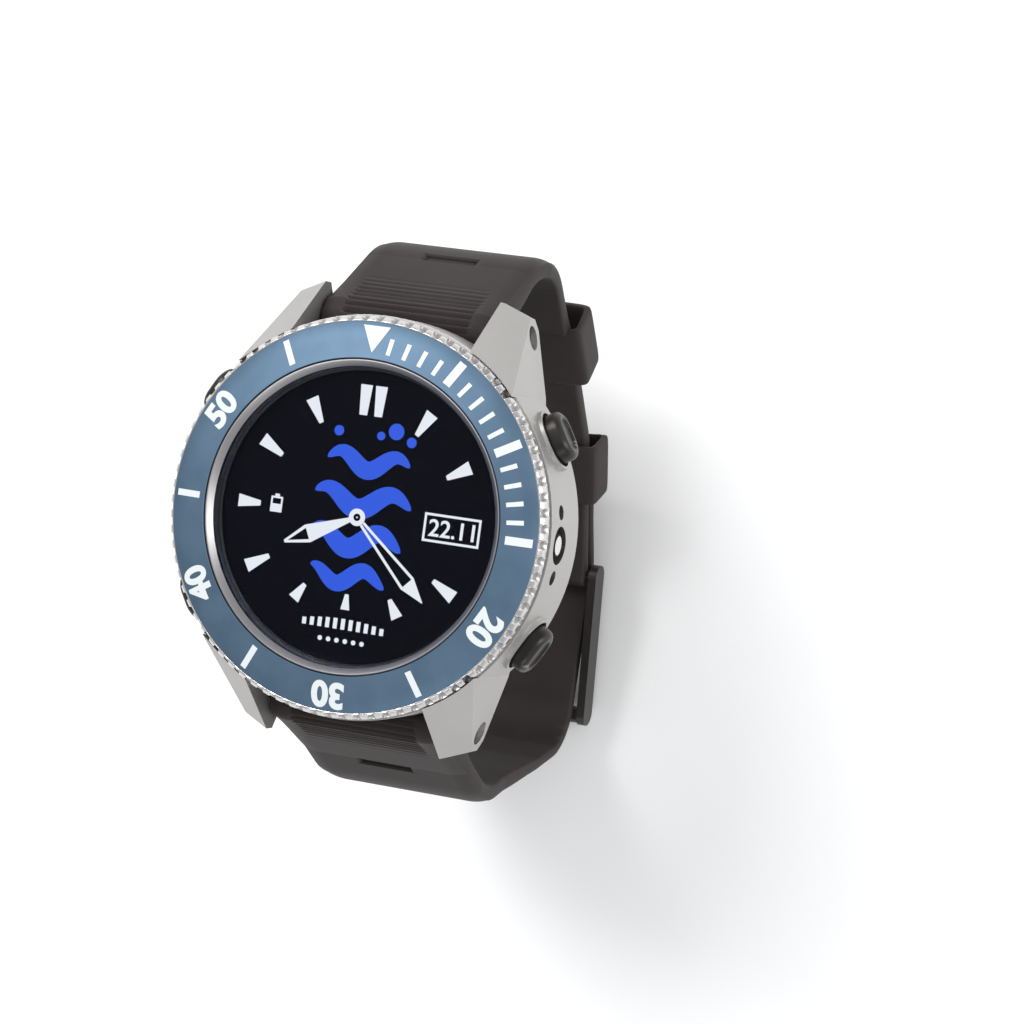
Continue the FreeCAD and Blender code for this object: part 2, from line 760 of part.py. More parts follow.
def keeper_fixed():
    """An empty hoop moulded on the sides of the upper leaf, open towards the wrist."""
    s0 = fixed_keeper_at - fixed_keeper_length / 2
    s1 = fixed_keeper_at + fixed_keeper_length / 2
    low = -strap_t / 2
    roof = strap_t / 2 + tail_t + 2 * keeper_gap
    top = roof + keeper_wall
    half = keeper_w / 2
    outer = plate_x([at_bend(s0, low), at_bend(s1, low), at_bend(s1, strap_t / 2),
                     at_bend(s1 - fixed_keeper_bevel, top), at_bend(s0, top)], -half, half)
    window = plate_x([at_bend(s0 - past, low - past), at_bend(s1 + past, low - past),
                      at_bend(s1 + past, roof), at_bend(s0 - past, roof)], -back_half_width, back_half_width)
    return one_solid(outer.cut(window))


def buckle_frame():
    """Two side plates joined by the end bar that the tang rests on."""
    half = buckle_w / 2
    u_end = buckle_length - buckle_tail
    corners = [at_buckle(-buckle_tail, buckle_inner_n), at_buckle(u_end, buckle_inner_n),
               at_buckle(u_end, buckle_outer_n), at_buckle(-buckle_tail, buckle_outer_n)]
    plates = []
    for side in (1, -1):
        x0, x1 = sorted((side * (half - buckle_plate_t), side * half))
        plate = plate_x(corners, x0, x1)
        across = [edge for edge in plate.Edges
                  if abs(edge.Vertexes[0].Point.x - edge.Vertexes[-1].Point.x) > buckle_plate_t / 2]
        plates.append(plate.makeFillet(buckle_corner, across))
    u_bar = u_end - buckle_end_bar_l
    bevel = buckle_end_bar_l / 4
    rim = [at_buckle(u_bar, buckle_end_bar_n), at_buckle(u_end - bevel, buckle_end_bar_n),
           at_buckle(u_end, buckle_end_bar_n + bevel), at_buckle(u_end - bevel, buckle_outer_n - bevel),
           at_buckle(u_end - 2 * bevel, buckle_outer_n), at_buckle(u_bar, buckle_outer_n)]
    end_bar = plate_x(rim, -half + buckle_rim_in, half - buckle_rim_in)
    hole_half = half - buckle_bar_end
    return one_solid(fused(plates[0], plates[1], end_bar).cut(
        bar_along_x(buckle_bar_r, -hole_half, hole_half, *buckle_pivot)))


def buckle_tang():
    """A flat tongue from its eye round the pivot to its tip on the end bar."""
    half = tang_w / 2
    rest_n = buckle_outer_n + tang_rest
    tip_u = buckle_length - buckle_tail
    hump_u = tang_hump_u + tang_hump_l
    tongue = [at_buckle(0, 0), at_buckle(tang_root_u, tang_eye_r - tang_t),
              at_buckle(tang_hump_u, tang_hump_n), at_buckle(hump_u, tang_hump_n),
              at_buckle(tip_u - tang_tip_l, rest_n), at_buckle(tip_u, rest_n),
              at_buckle(tip_u, rest_n + tang_tip_t), at_buckle(tip_u - tang_tip_l, rest_n + tang_t),
              at_buckle(hump_u, tang_hump_n + tang_t), at_buckle(tang_hump_u, tang_hump_n + tang_t),
              at_buckle(tang_t / 2, tang_eye_r)]
    shape = fused(bar_along_x(tang_eye_r, -half, half, *buckle_pivot), plate_x(tongue, -half, half))
    return one_solid(shape.cut(bar_along_x(buckle_bar_r + tang_gap, -half, half, *buckle_pivot)))


# ---------------------------------------------------------------- electronics
def module_frame():
    """A ring that carries the display at the top, the board on a shelf and the battery below."""
    low = frame_bottom_z
    high = display_top_z - display_t - backlight_t
    shelf_low = board_z - frame_shelf_t
    body = ring(frame_r - frame_wall, frame_r, low, high)
    shelf = ring(frame_shelf_r, frame_r - frame_lap, shelf_low, board_z)
    holder_r = battery_r + holder_gap
    holder = ring(holder_r, holder_r + holder_wall, battery_bottom_z, board_z - frame_lap)
    web = box(holder_r + frame_lap, frame_r - frame_lap, -frame_web_w / 2, frame_web_w / 2,
              battery_bottom_z, shelf_low)
    webs = [turned(web, 45 + 90 * k) for k in range(4)]
    body = fused(body, shelf, holder, *webs)
    cutters = [bar_along_x(sensor_r + holder_gap, frame_shelf_r - past, far, 0, port_z)]
    for angle in button_places().values():
        switch_hole = bar_along_x(switch_r + holder_gap, switch_low_r - frame_lap, far, 0, button_z)
        cutters.append(turned(switch_hole, angle))
    return one_solid(body.cut(Part.makeCompound(cutters)))


def circuit_board():
    board = cylinder(board_r, board_z, board_z + board_t)
    half = board_cut_w / 2
    return one_solid(board.cut(box(board_cut_x, far, -half, half, 0, far)))


def chip(x, y, length, width, height):
    """A chip on the board, with its top edges bevelled."""
    low = board_z + board_t
    body = box(x - length / 2, x + length / 2, y - width / 2, y + width / 2, low, low + height)
    top = [edge for edge in body.Edges if all(abs(v.Point.z - low - height) < 1e-6 for v in edge.Vertexes)]
    return body.makeChamfer(chip_edge, top)


# ---------------------------------------------------------------- write the parts
def bar_screws():
    """Slotted heads, two to each strap bar, let into the outer sides of the lugs."""
    screws = []
    outer = bar_screw_x + bar_screw_t
    for sign in (1, -1):
        for side in (1, -1):
            x0, x1 = sorted((side * bar_screw_x, side * outer))
            head = bar_along_x(bar_screw_r, x0, x1, sign * bar_y, bar_z)
            s0, s1 = sorted((side * (outer - bar_slot_w), side * (outer + past)))
            slot = box(s0, s1, sign * bar_y - bar_screw_r, sign * bar_y + bar_screw_r,
                       bar_z - bar_slot_w / 2, bar_z + bar_slot_w / 2)
            screws.append(one_solid(head.cut(slot)))
    return Part.makeCompound(screws)


def write_case():
    save("case_middle", case_middle())
    save("case_back", case_back())
    save("case_back_gasket", ring(gasket_r - gasket_w / 2, gasket_r + gasket_w / 2,
                                  case_bottom_z, case_bottom_z + gasket_t))
    save("case_back_screws", back_screws())
    save("crystal", crystal())
    save("crystal_ring", crystal_ring())
    save("crystal_gasket", ring(crystal_r - crystal_ring_lip, crystal_r,
                                crystal_z - crystal_gasket_t, crystal_z))
    save("bezel_ring", bezel_ring())
    save("bezel_insert", bezel_insert())
    save("bezel_wire", ring(neck_r - wire_w / 2, neck_r + wire_w / 2, wire_z, wire_z + wire_t))
    save("bezel_gasket", ring(neck_r - bezel_gasket_w, neck_r, bezel_gasket_z,
                              bezel_gasket_z + bezel_gasket_t))
    click_top = case_deck_z - click_spring_sink
    save("bezel_click_spring", ring(click_spring_r - click_spring_w / 2, click_spring_r + click_spring_w / 2,
                                    click_top - click_spring_t, click_top))
    sensor_out = port_floor_x - port_web
    save("pressure_port_plug", bar_along_x(port_plug_r, sensor_out, port_plug_x, 0, port_z))
    save("pressure_sensor", bar_along_x(sensor_r - sensor_seal_w, sensor_in_x, sensor_out, 0, port_z))
    save("pressure_sensor_seal", bar_along_x(sensor_r, sensor_out - sensor_seal_t, sensor_out, 0, port_z).cut(
        bar_along_x(sensor_r - sensor_seal_w, sensor_in_x, sensor_out, 0, port_z)))


def write_buttons():
    places = button_places()
    for clock, angle in places.items():
        save("button_cap_" + clock, turned(button_cap(), angle))
        save("button_stem_" + clock, turned(button_stem(), angle))
        save("button_seal_" + clock, turned(button_seal(), angle))
        save("button_spring_" + clock, turned(button_spring(), angle))
    save("button_tubes", Part.makeCompound([turned(button_tube(), angle) for angle in places.values()]))
    save("button_switches", Part.makeCompound([turned(button_switch(), angle) for angle in places.values()]))


def write_strap():
    save("strap_bar_upper", bar_along_x(bar_r, -bar_screw_x, bar_screw_x, *upper_bar))
    save("strap_bar_lower", bar_along_x(bar_r, -bar_screw_x, bar_screw_x, *lower_bar))
    save("strap_bar_screws", bar_screws())
    save("strap_upper_band", band(upper_runs, upper_bar, upper_peak, upper_flex, 1))
    save("strap_lower_band", band(lower_runs, lower_bar, lower_peak, lower_flex, -1))
    save("strap_upper_end", upper_end())
    save("strap_tail", strap_tail())
    save("keeper_fixed", keeper_fixed())
    save("keeper_sliding", keeper_sliding())
    save("buckle_frame", buckle_frame())
    bar_half = buckle_w / 2 - buckle_bar_end
    save("buckle_bar", bar_along_x(buckle_bar_r, -bar_half, bar_half, *buckle_pivot))
    save("buckle_tang", buckle_tang())


def write_electronics():
    display_low = display_top_z - display_t
    save("display_panel", cylinder(display_r, display_low, display_top_z))
    save("display_backlight", cylinder(backlight_r, display_low - backlight_t, display_low))
    save("module_frame", module_frame())
    save("main_board", circuit_board())
    save("processor_chip", chip(3.5, 3.0, 6.0, 6.0, 0.8))
    save("memory_chip", chip(-5.5, 5.0, 4.5, 3.5, 0.7))
    save("radio_module", chip(-4.5, -6.0, 6.5, 5.0, 1.2))
    save("compass_chip", chip(6.0, -6.5, 2.5, 2.5, 0.7))
    save("battery", cylinder(battery_r, battery_bottom_z, battery_bottom_z + battery_t))
    pad_low = battery_bottom_z - battery_pad_t
    save("battery_pad", cylinder(battery_r - battery_pad_in, pad_low, battery_bottom_z))
    save("buzzer_disc", cylinder(buzzer_r, back_t, back_t + buzzer_t, 0, buzzer_y))
    motor_low = battery_bottom_z + motor_lift
    save("vibration_motor", cylinder(motor_r, motor_low, motor_low + motor_t, -motor_x, 0))
    pins = [cylinder(charging_pin_r, charging_pin_sink, back_t + charging_pin_head, *at) for at in pin_places()]
    save("charging_pins", Part.makeCompound(pins))


os.makedirs("parts", exist_ok=True)
write_case()
write_buttons()
write_strap()
write_electronics()
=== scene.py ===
import bmesh
import bpy
from mathutils import Matrix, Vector
import math
import numpy as np


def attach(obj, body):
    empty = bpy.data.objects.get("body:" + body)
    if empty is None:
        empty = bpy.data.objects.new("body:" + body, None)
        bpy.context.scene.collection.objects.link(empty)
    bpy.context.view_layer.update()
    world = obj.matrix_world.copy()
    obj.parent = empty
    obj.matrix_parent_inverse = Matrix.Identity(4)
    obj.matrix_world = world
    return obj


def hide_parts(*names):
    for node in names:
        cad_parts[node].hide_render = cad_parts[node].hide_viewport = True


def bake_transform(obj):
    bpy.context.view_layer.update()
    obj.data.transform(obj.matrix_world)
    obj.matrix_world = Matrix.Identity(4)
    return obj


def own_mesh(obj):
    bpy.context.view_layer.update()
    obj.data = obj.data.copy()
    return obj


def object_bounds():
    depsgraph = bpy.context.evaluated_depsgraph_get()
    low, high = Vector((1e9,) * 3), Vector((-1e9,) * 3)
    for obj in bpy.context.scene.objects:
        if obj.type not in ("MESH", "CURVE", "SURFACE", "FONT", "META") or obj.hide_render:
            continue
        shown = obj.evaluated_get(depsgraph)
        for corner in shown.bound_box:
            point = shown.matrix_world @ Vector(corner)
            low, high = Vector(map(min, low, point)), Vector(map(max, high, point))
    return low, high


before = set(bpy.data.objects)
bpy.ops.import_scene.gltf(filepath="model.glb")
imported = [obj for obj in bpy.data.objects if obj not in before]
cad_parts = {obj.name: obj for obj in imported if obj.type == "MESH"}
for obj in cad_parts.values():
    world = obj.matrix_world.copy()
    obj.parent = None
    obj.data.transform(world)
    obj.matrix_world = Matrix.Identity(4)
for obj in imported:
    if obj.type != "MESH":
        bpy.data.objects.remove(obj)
cad_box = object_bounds()
MM = 0.001


# ---------------------------------------------------------------- middle case
# The case is turned and milled from one block of stainless steel, with its four lugs and the
# guards round the button pockets left standing, and then bead-blasted to an even grey.  Its edges
# are broken by a small bevel that catches the light.
class Value:
    """One output of a node; arithmetic on it adds Math nodes."""

    def __init__(self, finish, socket):
        self.finish = finish
        self.socket = socket

    def maths(self, operation, *values):
        return self.finish.node("Math", {"operation": operation}, *values)

    def __add__(self, other):
        return self.maths("ADD", self, other)

    def __sub__(self, other):
        return self.maths("SUBTRACT", self, other)

    def __rsub__(self, other):
        return self.maths("SUBTRACT", other, self)

    def __mul__(self, other):
        return self.maths("MULTIPLY", self, other)

    def __pow__(self, other):
        return self.maths("POWER", self, other)

    __radd__ = __add__
    __rmul__ = __mul__

    def step(self, low, high):
        """0 below low, 1 above high, and smooth between them."""
        return self.finish.node("MapRange", {"interpolation_type": "SMOOTHSTEP"}, self, low, high, 0.0, 1.0)


class Finish:
    """A material round one Principled shader, whose fixed sockets are given by name."""

    def __init__(self, name, colour, **fixed):
        self.material = bpy.data.materials.new(name)
        self.material.use_nodes = True
        self.tree = self.material.node_tree
        self.shader = self.tree.nodes["Principled BSDF"]
        self.shader.inputs["Base Color"].default_value = (*colour, 1)
        self.material.diffuse_color = (*colour, 1)
        for key, value in fixed.items():
            self.shader.inputs[key.replace("_", " ")].default_value = value

    def node(self, kind, settings, *values, out=0, **named):
        """A node with its settings, then values or links for its sockets in order or by name."""
        made = self.tree.nodes.new("ShaderNode" + kind)
        for key, value in settings.items():
            setattr(made, key, value)
        for place, value in list(enumerate(values)) + [(k.replace("_", " "), v) for k, v in named.items()]:
            if isinstance(value, Value):
                self.tree.links.new(value.socket, made.inputs[place])
            else:
                made.inputs[place].default_value = value
        return Value(self, made.outputs[out])

    def place(self):
        return self.node("TexCoord", {}, out="Object")

    def axes(self):
        """The place's X, Y and Z in metres."""
        place = self.place()
        return [self.node("SeparateXYZ", {}, place, out=k) for k in (0, 1, 2)]

    def noise(self, scale, vector=None, detail=3.0, rough=0.5):
        return self.node("TexNoise", {}, Vector=vector or self.place(), Scale=scale,
                         Detail=detail, Roughness=rough, out="Fac")

    def circles(self, pitch, detail):
        """Noise that only changes with the distance from the Z axis, pitch rings to the metre."""
        x, y, _ = self.axes()
        radius = (x * x + y * y) ** 0.5
        return self.node("TexNoise", {"noise_dimensions": "1D"}, W=radius * pitch, Scale=1.0,
                         Detail=detail, out="Fac")

    def blend(self, factor, first, second):
        """A colour between two others, either of which may be a node's, by a factor from 0 to 1."""
        ends = [tone if isinstance(tone, Value) else (*tone, 1) for tone in (first, second)]
        return self.node("Mix", {"data_type": "RGBA"}, factor, out=2, A=ends[0], B=ends[1])

    def bump(self, height, strength, distance):
        return self.node("Bump", {}, Strength=strength, Distance=distance, Height=height)

    def drive(self, **sockets):
        """Links values to the shader's varying sockets."""
        for key, value in sockets.items():
            self.tree.links.new(value.socket, self.shader.inputs[key.replace("_", " ")])
        return self


def blasted_steel():
    """Steel with a fine blasted grain and slow changes of sheen, and painted shade in its bores.

    Shade is painted near black into the round bores of the 3 o'clock side, and deep into those of the
    lugs' screws.  They run along X: a point is in one when its distance from the bore's line, in Y
    and Z, is under the bore's radius.
    """
    steel = Finish("blasted steel", (0.42, 0.41, 0.395), Metallic=0.9)
    grain = steel.noise(9000.0, detail=4.0)
    slow = steel.noise(70.0)
    x, y, z = steel.axes()
    right_side = x.step(0.0, 0.001)
    deep = 1 - ((x * x) ** 0.5).step(0.0147, 0.0153)
    port = (0, 8.6, 2.2, right_side)
    port_holes = [(side * 3.75, 8.6, 0.85, right_side) for side in (1, -1)]
    screw_bores = [(side * 23.1, 3.2, 1.36, deep) for side in (1, -1)]
    painted_bore_shade = right_side * 0
    for bore_y, bore_z, bore_r, where in (port, *port_holes, *screw_bores):
        off_y, off_z = y - bore_y * MM, z - bore_z * MM
        off = (off_y * off_y + off_z * off_z) ** 0.5
        painted_bore_shade = painted_bore_shade + (1 - off.step((bore_r - 0.02) * MM, (bore_r + 0.04) * MM)) * where
    tone = steel.blend(slow.step(0.3, 0.7), (0.41, 0.40, 0.385), (0.45, 0.44, 0.425))
    # Painted shade: the bores are darkened to near black, where shade falls inside them.
    tone = steel.blend(painted_bore_shade, tone, (0.025, 0.023, 0.022))
    rough = 0.40 + slow * 0.08 + grain * 0.08 + painted_bore_shade * 0.2
    return steel.drive(Base_Color=tone, Roughness=rough, Normal=steel.bump(grain, 0.35, 0.00002))


def rubbed_edge(name, colour, rough):
    """The rounded edges of a metal part in a colour of their own with scuffs: worn brighter than its faces,
    or near black as painted shade.
    """
    edge = Finish(name, colour, Metallic=1.0)
    scuffs = edge.noise(700.0, detail=4.0)
    tone = edge.blend(scuffs.step(0.35, 0.65), tuple(0.85 * c for c in colour), colour)
    return edge.drive(Base_Color=tone, Roughness=rough + scuffs * 0.15)


def shell_of(node, name, edge, body, finish, edge_finish, segments=3):
    """A node's own shape, its sharp edges rounded by edge millimetres in a finish of their own."""
    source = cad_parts[node]
    mesh = source.data.copy()
    work = bmesh.new()
    work.from_mesh(mesh)
    bmesh.ops.remove_doubles(work, verts=work.verts, dist=2e-6)
    bmesh.ops.dissolve_limit(work, angle_limit=math.radians(0.6), verts=work.verts, edges=work.edges)
    bmesh.ops.recalc_face_normals(work, faces=work.faces)
    work.to_mesh(mesh)
    work.free()
    mesh.polygons.foreach_set("use_smooth", [True] * len(mesh.polygons))
    mesh.set_sharp_from_angle(angle=math.radians(22))
    piece = bpy.data.objects.new(name, mesh)
    bpy.context.scene.collection.objects.link(piece)
    mesh.materials.clear()
    mesh.materials.append(finish.material)
    mesh.materials.append(edge_finish.material)
    round_off = piece.modifiers.new("edges", "BEVEL")
    round_off.material = 1
    round_off.width = edge * MM
    round_off.segments = segments
    round_off.limit_method = "ANGLE"
    round_off.angle_limit = math.radians(24)
    flat = piece.modifiers.new("flat faces", "WEIGHTED_NORMAL")
    flat.keep_sharp = True
    flat.weight = 80
    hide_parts(node)
    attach(piece, body)
    return piece


steel_edge = rubbed_edge("worn steel edge", (0.60, 0.59, 0.575), 0.22)
shell_of("case_middle", "case_shell", 0.14, "root", blasted_steel(), steel_edge)


def dress(finish, *nodes):
    """Gives CAD nodes that keep their own shape a finish."""
    for node in nodes:
        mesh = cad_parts[node].data
        mesh.materials.clear()
        mesh.materials.append(finish.material)


# ---------------------------------------------------------------- case back
# A turned steel plate with a ring of six slotted screws.  Its wrist side has the fine rings that
# turning leaves.  Four gilt contacts near its edge take the charging cable.
def turned_steel(name, colour, rough, pitch):
    """Polished steel with fine rings round the dial's axis, pitch rings to the metre."""
    turned = Finish(name, colour, Metallic=1.0)
    line = turned.circles(pitch, 3.0)
    smear = turned.noise(160.0)
    return turned.drive(Roughness=rough + line * 0.10 + smear * 0.06,
                        Normal=turned.bump(line, 0.18, 0.00001))


back_steel = turned_steel("turned steel", (0.62, 0.61, 0.60), 0.24, 5200.0)
shell_of("case_back", "back_plate", 0.12, "root", back_steel, steel_edge)
bright = Finish("bright steel", (0.72, 0.71, 0.70), Metallic=1.0)
bright.drive(Roughness=0.16 + bright.noise(420.0) * 0.12)
dress(bright, "case_back_screws", "button_stem_2", "button_stem_4", "button_stem_8", "button_stem_10",
      "button_tubes", "pressure_sensor", "vibration_motor", "strap_bar_upper", "strap_bar_lower")
gilt = Finish("gilt contact", (0.83, 0.60, 0.22), Metallic=1.0)
gilt.drive(Roughness=0.2 + gilt.noise(900.0) * 0.15)
dress(gilt, "charging_pins", "buzzer_disc")


# ---------------------------------------------------------------- seals and springs
# Moulded rubber rings keep the water out of the case, and hard-drawn steel wire returns the
# buttons and holds the bezel on its neck.
seal = Finish("seal rubber", (0.018, 0.018, 0.018))
seal.drive(Roughness=0.5 + seal.noise(800.0) * 0.2)
dress(seal, "case_back_gasket", "crystal_gasket", "bezel_gasket", "pressure_sensor_seal",
      "button_seal_2", "button_seal_4", "button_seal_8", "button_seal_10")
spring_wire = Finish("spring steel", (0.58, 0.57, 0.56), Metallic=1.0)
spring_wire.drive(Roughness=0.22 + spring_wire.noise(1500.0) * 0.12)
dress(spring_wire, "bezel_wire", "bezel_click_spring", "button_switches")
button_angles = (("2", 30), ("10", 150), ("8", 210), ("4", -30))
for clock, angle in button_angles:
    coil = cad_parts["button_spring_" + clock].data.copy()
    coil.materials.clear()
    coil.materials.append(spring_wire.material)
    wound = bpy.data.objects.new("spring_coil_" + clock, coil)
    bpy.context.scene.collection.objects.link(wound)
    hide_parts("button_spring_" + clock)
    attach(wound, "button_" + clock)
    outward = np.array([math.cos(math.radians(angle)), math.sin(math.radians(angle)), 0])
    reach = np.empty(len(coil.vertices) * 3)
    coil.vertices.foreach_get("co", reach)
    reach = reach.reshape(-1, 3) @ outward
    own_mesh(wound)


# ---------------------------------------------------------------- electronics
# A moulded frame carries the display, the board with its chips, and the flat cell.  None of it
# shows through the black display.
frame_black = Finish("frame plastic", (0.03, 0.03, 0.033))
frame_black.drive(Roughness=0.45 + frame_black.noise(1200.0) * 0.15)
dress(frame_black, "module_frame", "processor_chip", "memory_chip", "radio_module", "compass_chip",
      "battery_pad")
board_green = Finish("circuit board", (0.02, 0.11, 0.06))
board_green.drive(Roughness=0.3 + board_green.noise(2500.0) * 0.25)
dress(board_green, "main_board")
diffuser = Finish("light guide", (0.82, 0.84, 0.83))
diffuser.drive(Roughness=0.55 + diffuser.noise(500.0) * 0.1)
dress(diffuser, "display_backlight")
cell_can = Finish("nickel can", (0.50, 0.51, 0.52), Metallic=1.0)
cell_can.drive(Roughness=0.28 + cell_can.noise(300.0) * 0.12)
dress(cell_can, "battery")


# ---------------------------------------------------------------- bezel ring
# The bezel ring is turned from steel and polished.  Its outer edge is cut with eighty notches,
# like a coin's, so that a gloved hand can turn it round the neck of the case.
def sheet(name, rows, finish, body, slot, *nodes, around=False, along=False, sharp=34.0):
    """A grid of points in millimetres, rows by columns, as a mesh of quads.

    around joins each row's last point to its first, and along joins the last row to the first.
    """
    rows = np.asarray(rows, float)
    high, wide = rows.shape[:2]
    index = np.arange(high * wide).reshape(high, wide)
    down = np.vstack([index, index[:1]]) if along else index
    grid = np.hstack([down, down[:, :1]]) if around else down
    faces = np.stack([grid[:-1, :-1], grid[:-1, 1:], grid[1:, 1:], grid[1:, :-1]], -1).reshape(-1, 4)
    mesh = bpy.data.meshes.new(name)
    mesh.from_pydata(rows.reshape(-1, 3) * MM, [], faces)
    work = bmesh.new()
    work.from_mesh(mesh)
    bmesh.ops.remove_doubles(work, verts=work.verts, dist=1e-7)
    bmesh.ops.recalc_face_normals(work, faces=work.faces)
    work.to_mesh(mesh)
    work.free()
    mesh.polygons.foreach_set("use_smooth", [True] * len(mesh.polygons))
    mesh.set_sharp_from_angle(angle=math.radians(sharp))
    mesh.materials.append(finish.material)
    piece = bpy.data.objects.new(name, mesh)
    bpy.context.scene.collection.objects.link(piece)
    if nodes:
        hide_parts(*nodes)
    if body:
        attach(piece, body)
    return piece


def revolve(profile, count):
    """Rows of (r cos a, r sin a, z) for each (r, z) of a closed profile, at count angles a."""
    r, z = np.array(profile, float).T
    a = np.linspace(0, 2 * np.pi, count, endpoint=False)
    ones = np.ones_like(a)
    return np.stack([r[:, None] * np.cos(a), r[:, None] * np.sin(a), z[:, None] * ones], -1)


def coin_steel():
    """Polished steel, with the floors of the notches darkened as painted shade."""
    coin = Finish("polished steel", (0.66, 0.65, 0.64), Metallic=1.0)
    x, y, z = coin.axes()
    inside = 1 - ((x * x + y * y) ** 0.5).step(0.02272, 0.02300)
    below_top, above_skirt = 1 - z.step(0.01345, 0.01372), z.step(0.0121, 0.0123)
    notch_floor_shade = inside * below_top * above_skirt
    fine = coin.noise(2600.0)
    # Painted shade: the notch floors are a darker grey than the polished ridges between them.
    tone = coin.blend(notch_floor_shade, (0.60, 0.59, 0.58), (0.32, 0.313, 0.305))
    return coin.drive(Base_Color=tone, Roughness=0.20 + notch_floor_shade * 0.20 + fine * 0.08)


bezel_outline = [(19.65, 12.1), (22.95, 12.1), (23.1, 12.22), (23.1, 12.7), (23.1, 12.85), (23.1, 13.1),
                 (23.08, 13.32), (22.98, 13.5), (22.66, 13.9), (22.58, 13.98), (22.5, 14.0), (22.4, 13.97),
                 (22.4, 13.3), (18.15, 14.3), (18.15, 13.4), (19.65, 13.4)]
bezel_rows = revolve(bezel_outline, 80 * 14)
turn = np.arctan2(bezel_rows[..., 1], bezel_rows[..., 0]) * 80 / (2 * np.pi)
across = np.abs((turn % 1.0) - 0.5) * 2
notch = np.clip(1 - (1 - across) / 0.52, 0, 1)
depth = 0.46 * np.sqrt(1 - (1 - notch) ** 2)
cut_rows = np.array([0, 0, 0, 0, 0.6, 1, 1, 1, 0.55, 0.2, 0, 0, 0, 0, 0, 0])[:, None]
radius = np.hypot(bezel_rows[..., 0], bezel_rows[..., 1])
bezel_rows[..., :2] *= ((radius - depth * cut_rows) / radius)[..., None]
sheet("bezel_coin_ring", bezel_rows, coin_steel(), "bezel", "polished_steel", "bezel_ring",
      around=True, along=True, sharp=50.0)


# ---------------------------------------------------------------- bezel insert
# A thin aluminium ring pressed into the bezel, satin and anodised blue.  Its face slopes down
# outwards, and its minute marks and numerals are filled with white lacquer.
def blue_anodising():
    """Blue with the faint circular lines of its satin finish."""
    blue = Finish("blue anodising", (0.088, 0.150, 0.222), Metallic=0.68)
    line = blue.circles(14000.0, 2.0)
    mottle = blue.noise(260.0, detail=5.0)
    tone = blue.blend(mottle.step(0.25, 0.75), (0.079, 0.137, 0.204), (0.098, 0.163, 0.238))
    return blue.drive(Base_Color=tone, Roughness=0.44 + line * 0.08 + mottle * 0.06,
                      Normal=blue.bump(line, 0.10, 0.00001))


insert_outline = [(18.15, 14.3), (18.15, 14.94), (18.2, 14.985), (20.3, 14.494), (22.32, 14.02),
                  (22.4, 13.95), (22.4, 13.3)]
sheet("bezel_blue_insert", revolve(insert_outline, 360), blue_anodising(), "bezel", "insert_blue",
      "bezel_insert", around=True, along=True)

lacquer = Finish("white lacquer", (0.66, 0.70, 0.71))
lacquer.drive(Roughness=0.35 + lacquer.noise(1200.0) * 0.15)


def tapered_bars(marks, low, face):
    """Flat bars in polar coordinates, each (degrees, inner r, outer r, inner width, outer width).

    A bar is a 2 by 6 by 5 grid: bottom and top, along its length, and across its width.  The
    bottom lies low under the surface face(r), and the top lies low above it.
    """
    marks = np.array(marks, float)
    t = np.linspace(0, 1, 6)[None, :, None]
    s = np.linspace(-0.5, 0.5, 5)[None, None, :]
    angle, r0, r1, w0, w1 = [marks[:, k][:, None, None] for k in range(5)]
    along = r0 + (r1 - r0) * t + 0 * s
    aside = (w0 + (w1 - w0) * t) * s
    c, d = np.cos(np.radians(angle)), np.sin(np.radians(angle))
    x = along * c - aside * d
    y = along * d + aside * c
    z = face(np.hypot(x, y))
    return np.stack([np.stack([x, y, z - low], -1), np.stack([x, y, z + low], -1)], 1)


def slab_faces(high, wide):
    """Faces of a closed slab of 2 x high x wide points: its two faces and its rim."""
    index = np.arange(2 * high * wide).reshape(2, high, wide)
    under, over = index
    quads = [np.stack([g[:-1, :-1], g[:-1, 1:], g[1:, 1:], g[1:, :-1]], -1).reshape(-1, 4)
             for g in (under[:, ::-1], over)]
    rim = np.concatenate([np.arange(wide), wide * np.arange(2, high + 1) - 1,
                          wide * high - 2 - np.arange(wide - 1), wide * np.arange(high - 2, 0, -1)])
    loop = np.append(rim, rim[0])
    sides = np.stack([loop[:-1], loop[1:], loop[1:] + high * wide, loop[:-1] + high * wide], -1)
    return np.vstack([*quads, sides])


def slabs(name, points, finish, body):
    """Many closed slabs, points of shape (count, 2, high, wide, 3) in millimetres, as one mesh."""
    count, _, high, wide, _ = points.shape
    one = slab_faces(high, wide)
    faces = (one[None] + (2 * high * wide * np.arange(count))[:, None, None]).reshape(-1, 4)
    mesh = bpy.data.meshes.new(name)
    mesh.from_pydata(points.reshape(-1, 3) * MM, [], faces)
    work = bmesh.new()
    work.from_mesh(mesh)
    bmesh.ops.recalc_face_normals(work, faces=work.faces)
    work.to_mesh(mesh)
    work.free()
    mesh.materials.append(finish.material)
    piece = bpy.data.objects.new(name, mesh)
    bpy.context.scene.collection.objects.link(piece)
    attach(piece, body)
    return piece


def insert_face(r):
    """Height of the insert's sloping face at radius r."""
    return 15.0 - (r - 18.15) / (22.4 - 18.15)


minute_marks = []
for minute in range(1, 15):
    if minute % 5:
        minute_marks.append((90 - 6 * minute, 18.85, 20.75, 0.50, 0.54))
for minute, mark_width in ((5, 1.0), (10, 1.0), (15, 0.95), (25, 0.75), (35, 0.75), (45, 0.75), (55, 0.75)):
    minute_marks.append((90 - 6 * minute, 18.85, 21.9, mark_width, mark_width))
minute_marks.append((90, 18.9, 21.95, 0.05, 3.3))
slabs("bezel_minute_marks", tapered_bars(minute_marks, 0.025, insert_face), lacquer, "bezel")


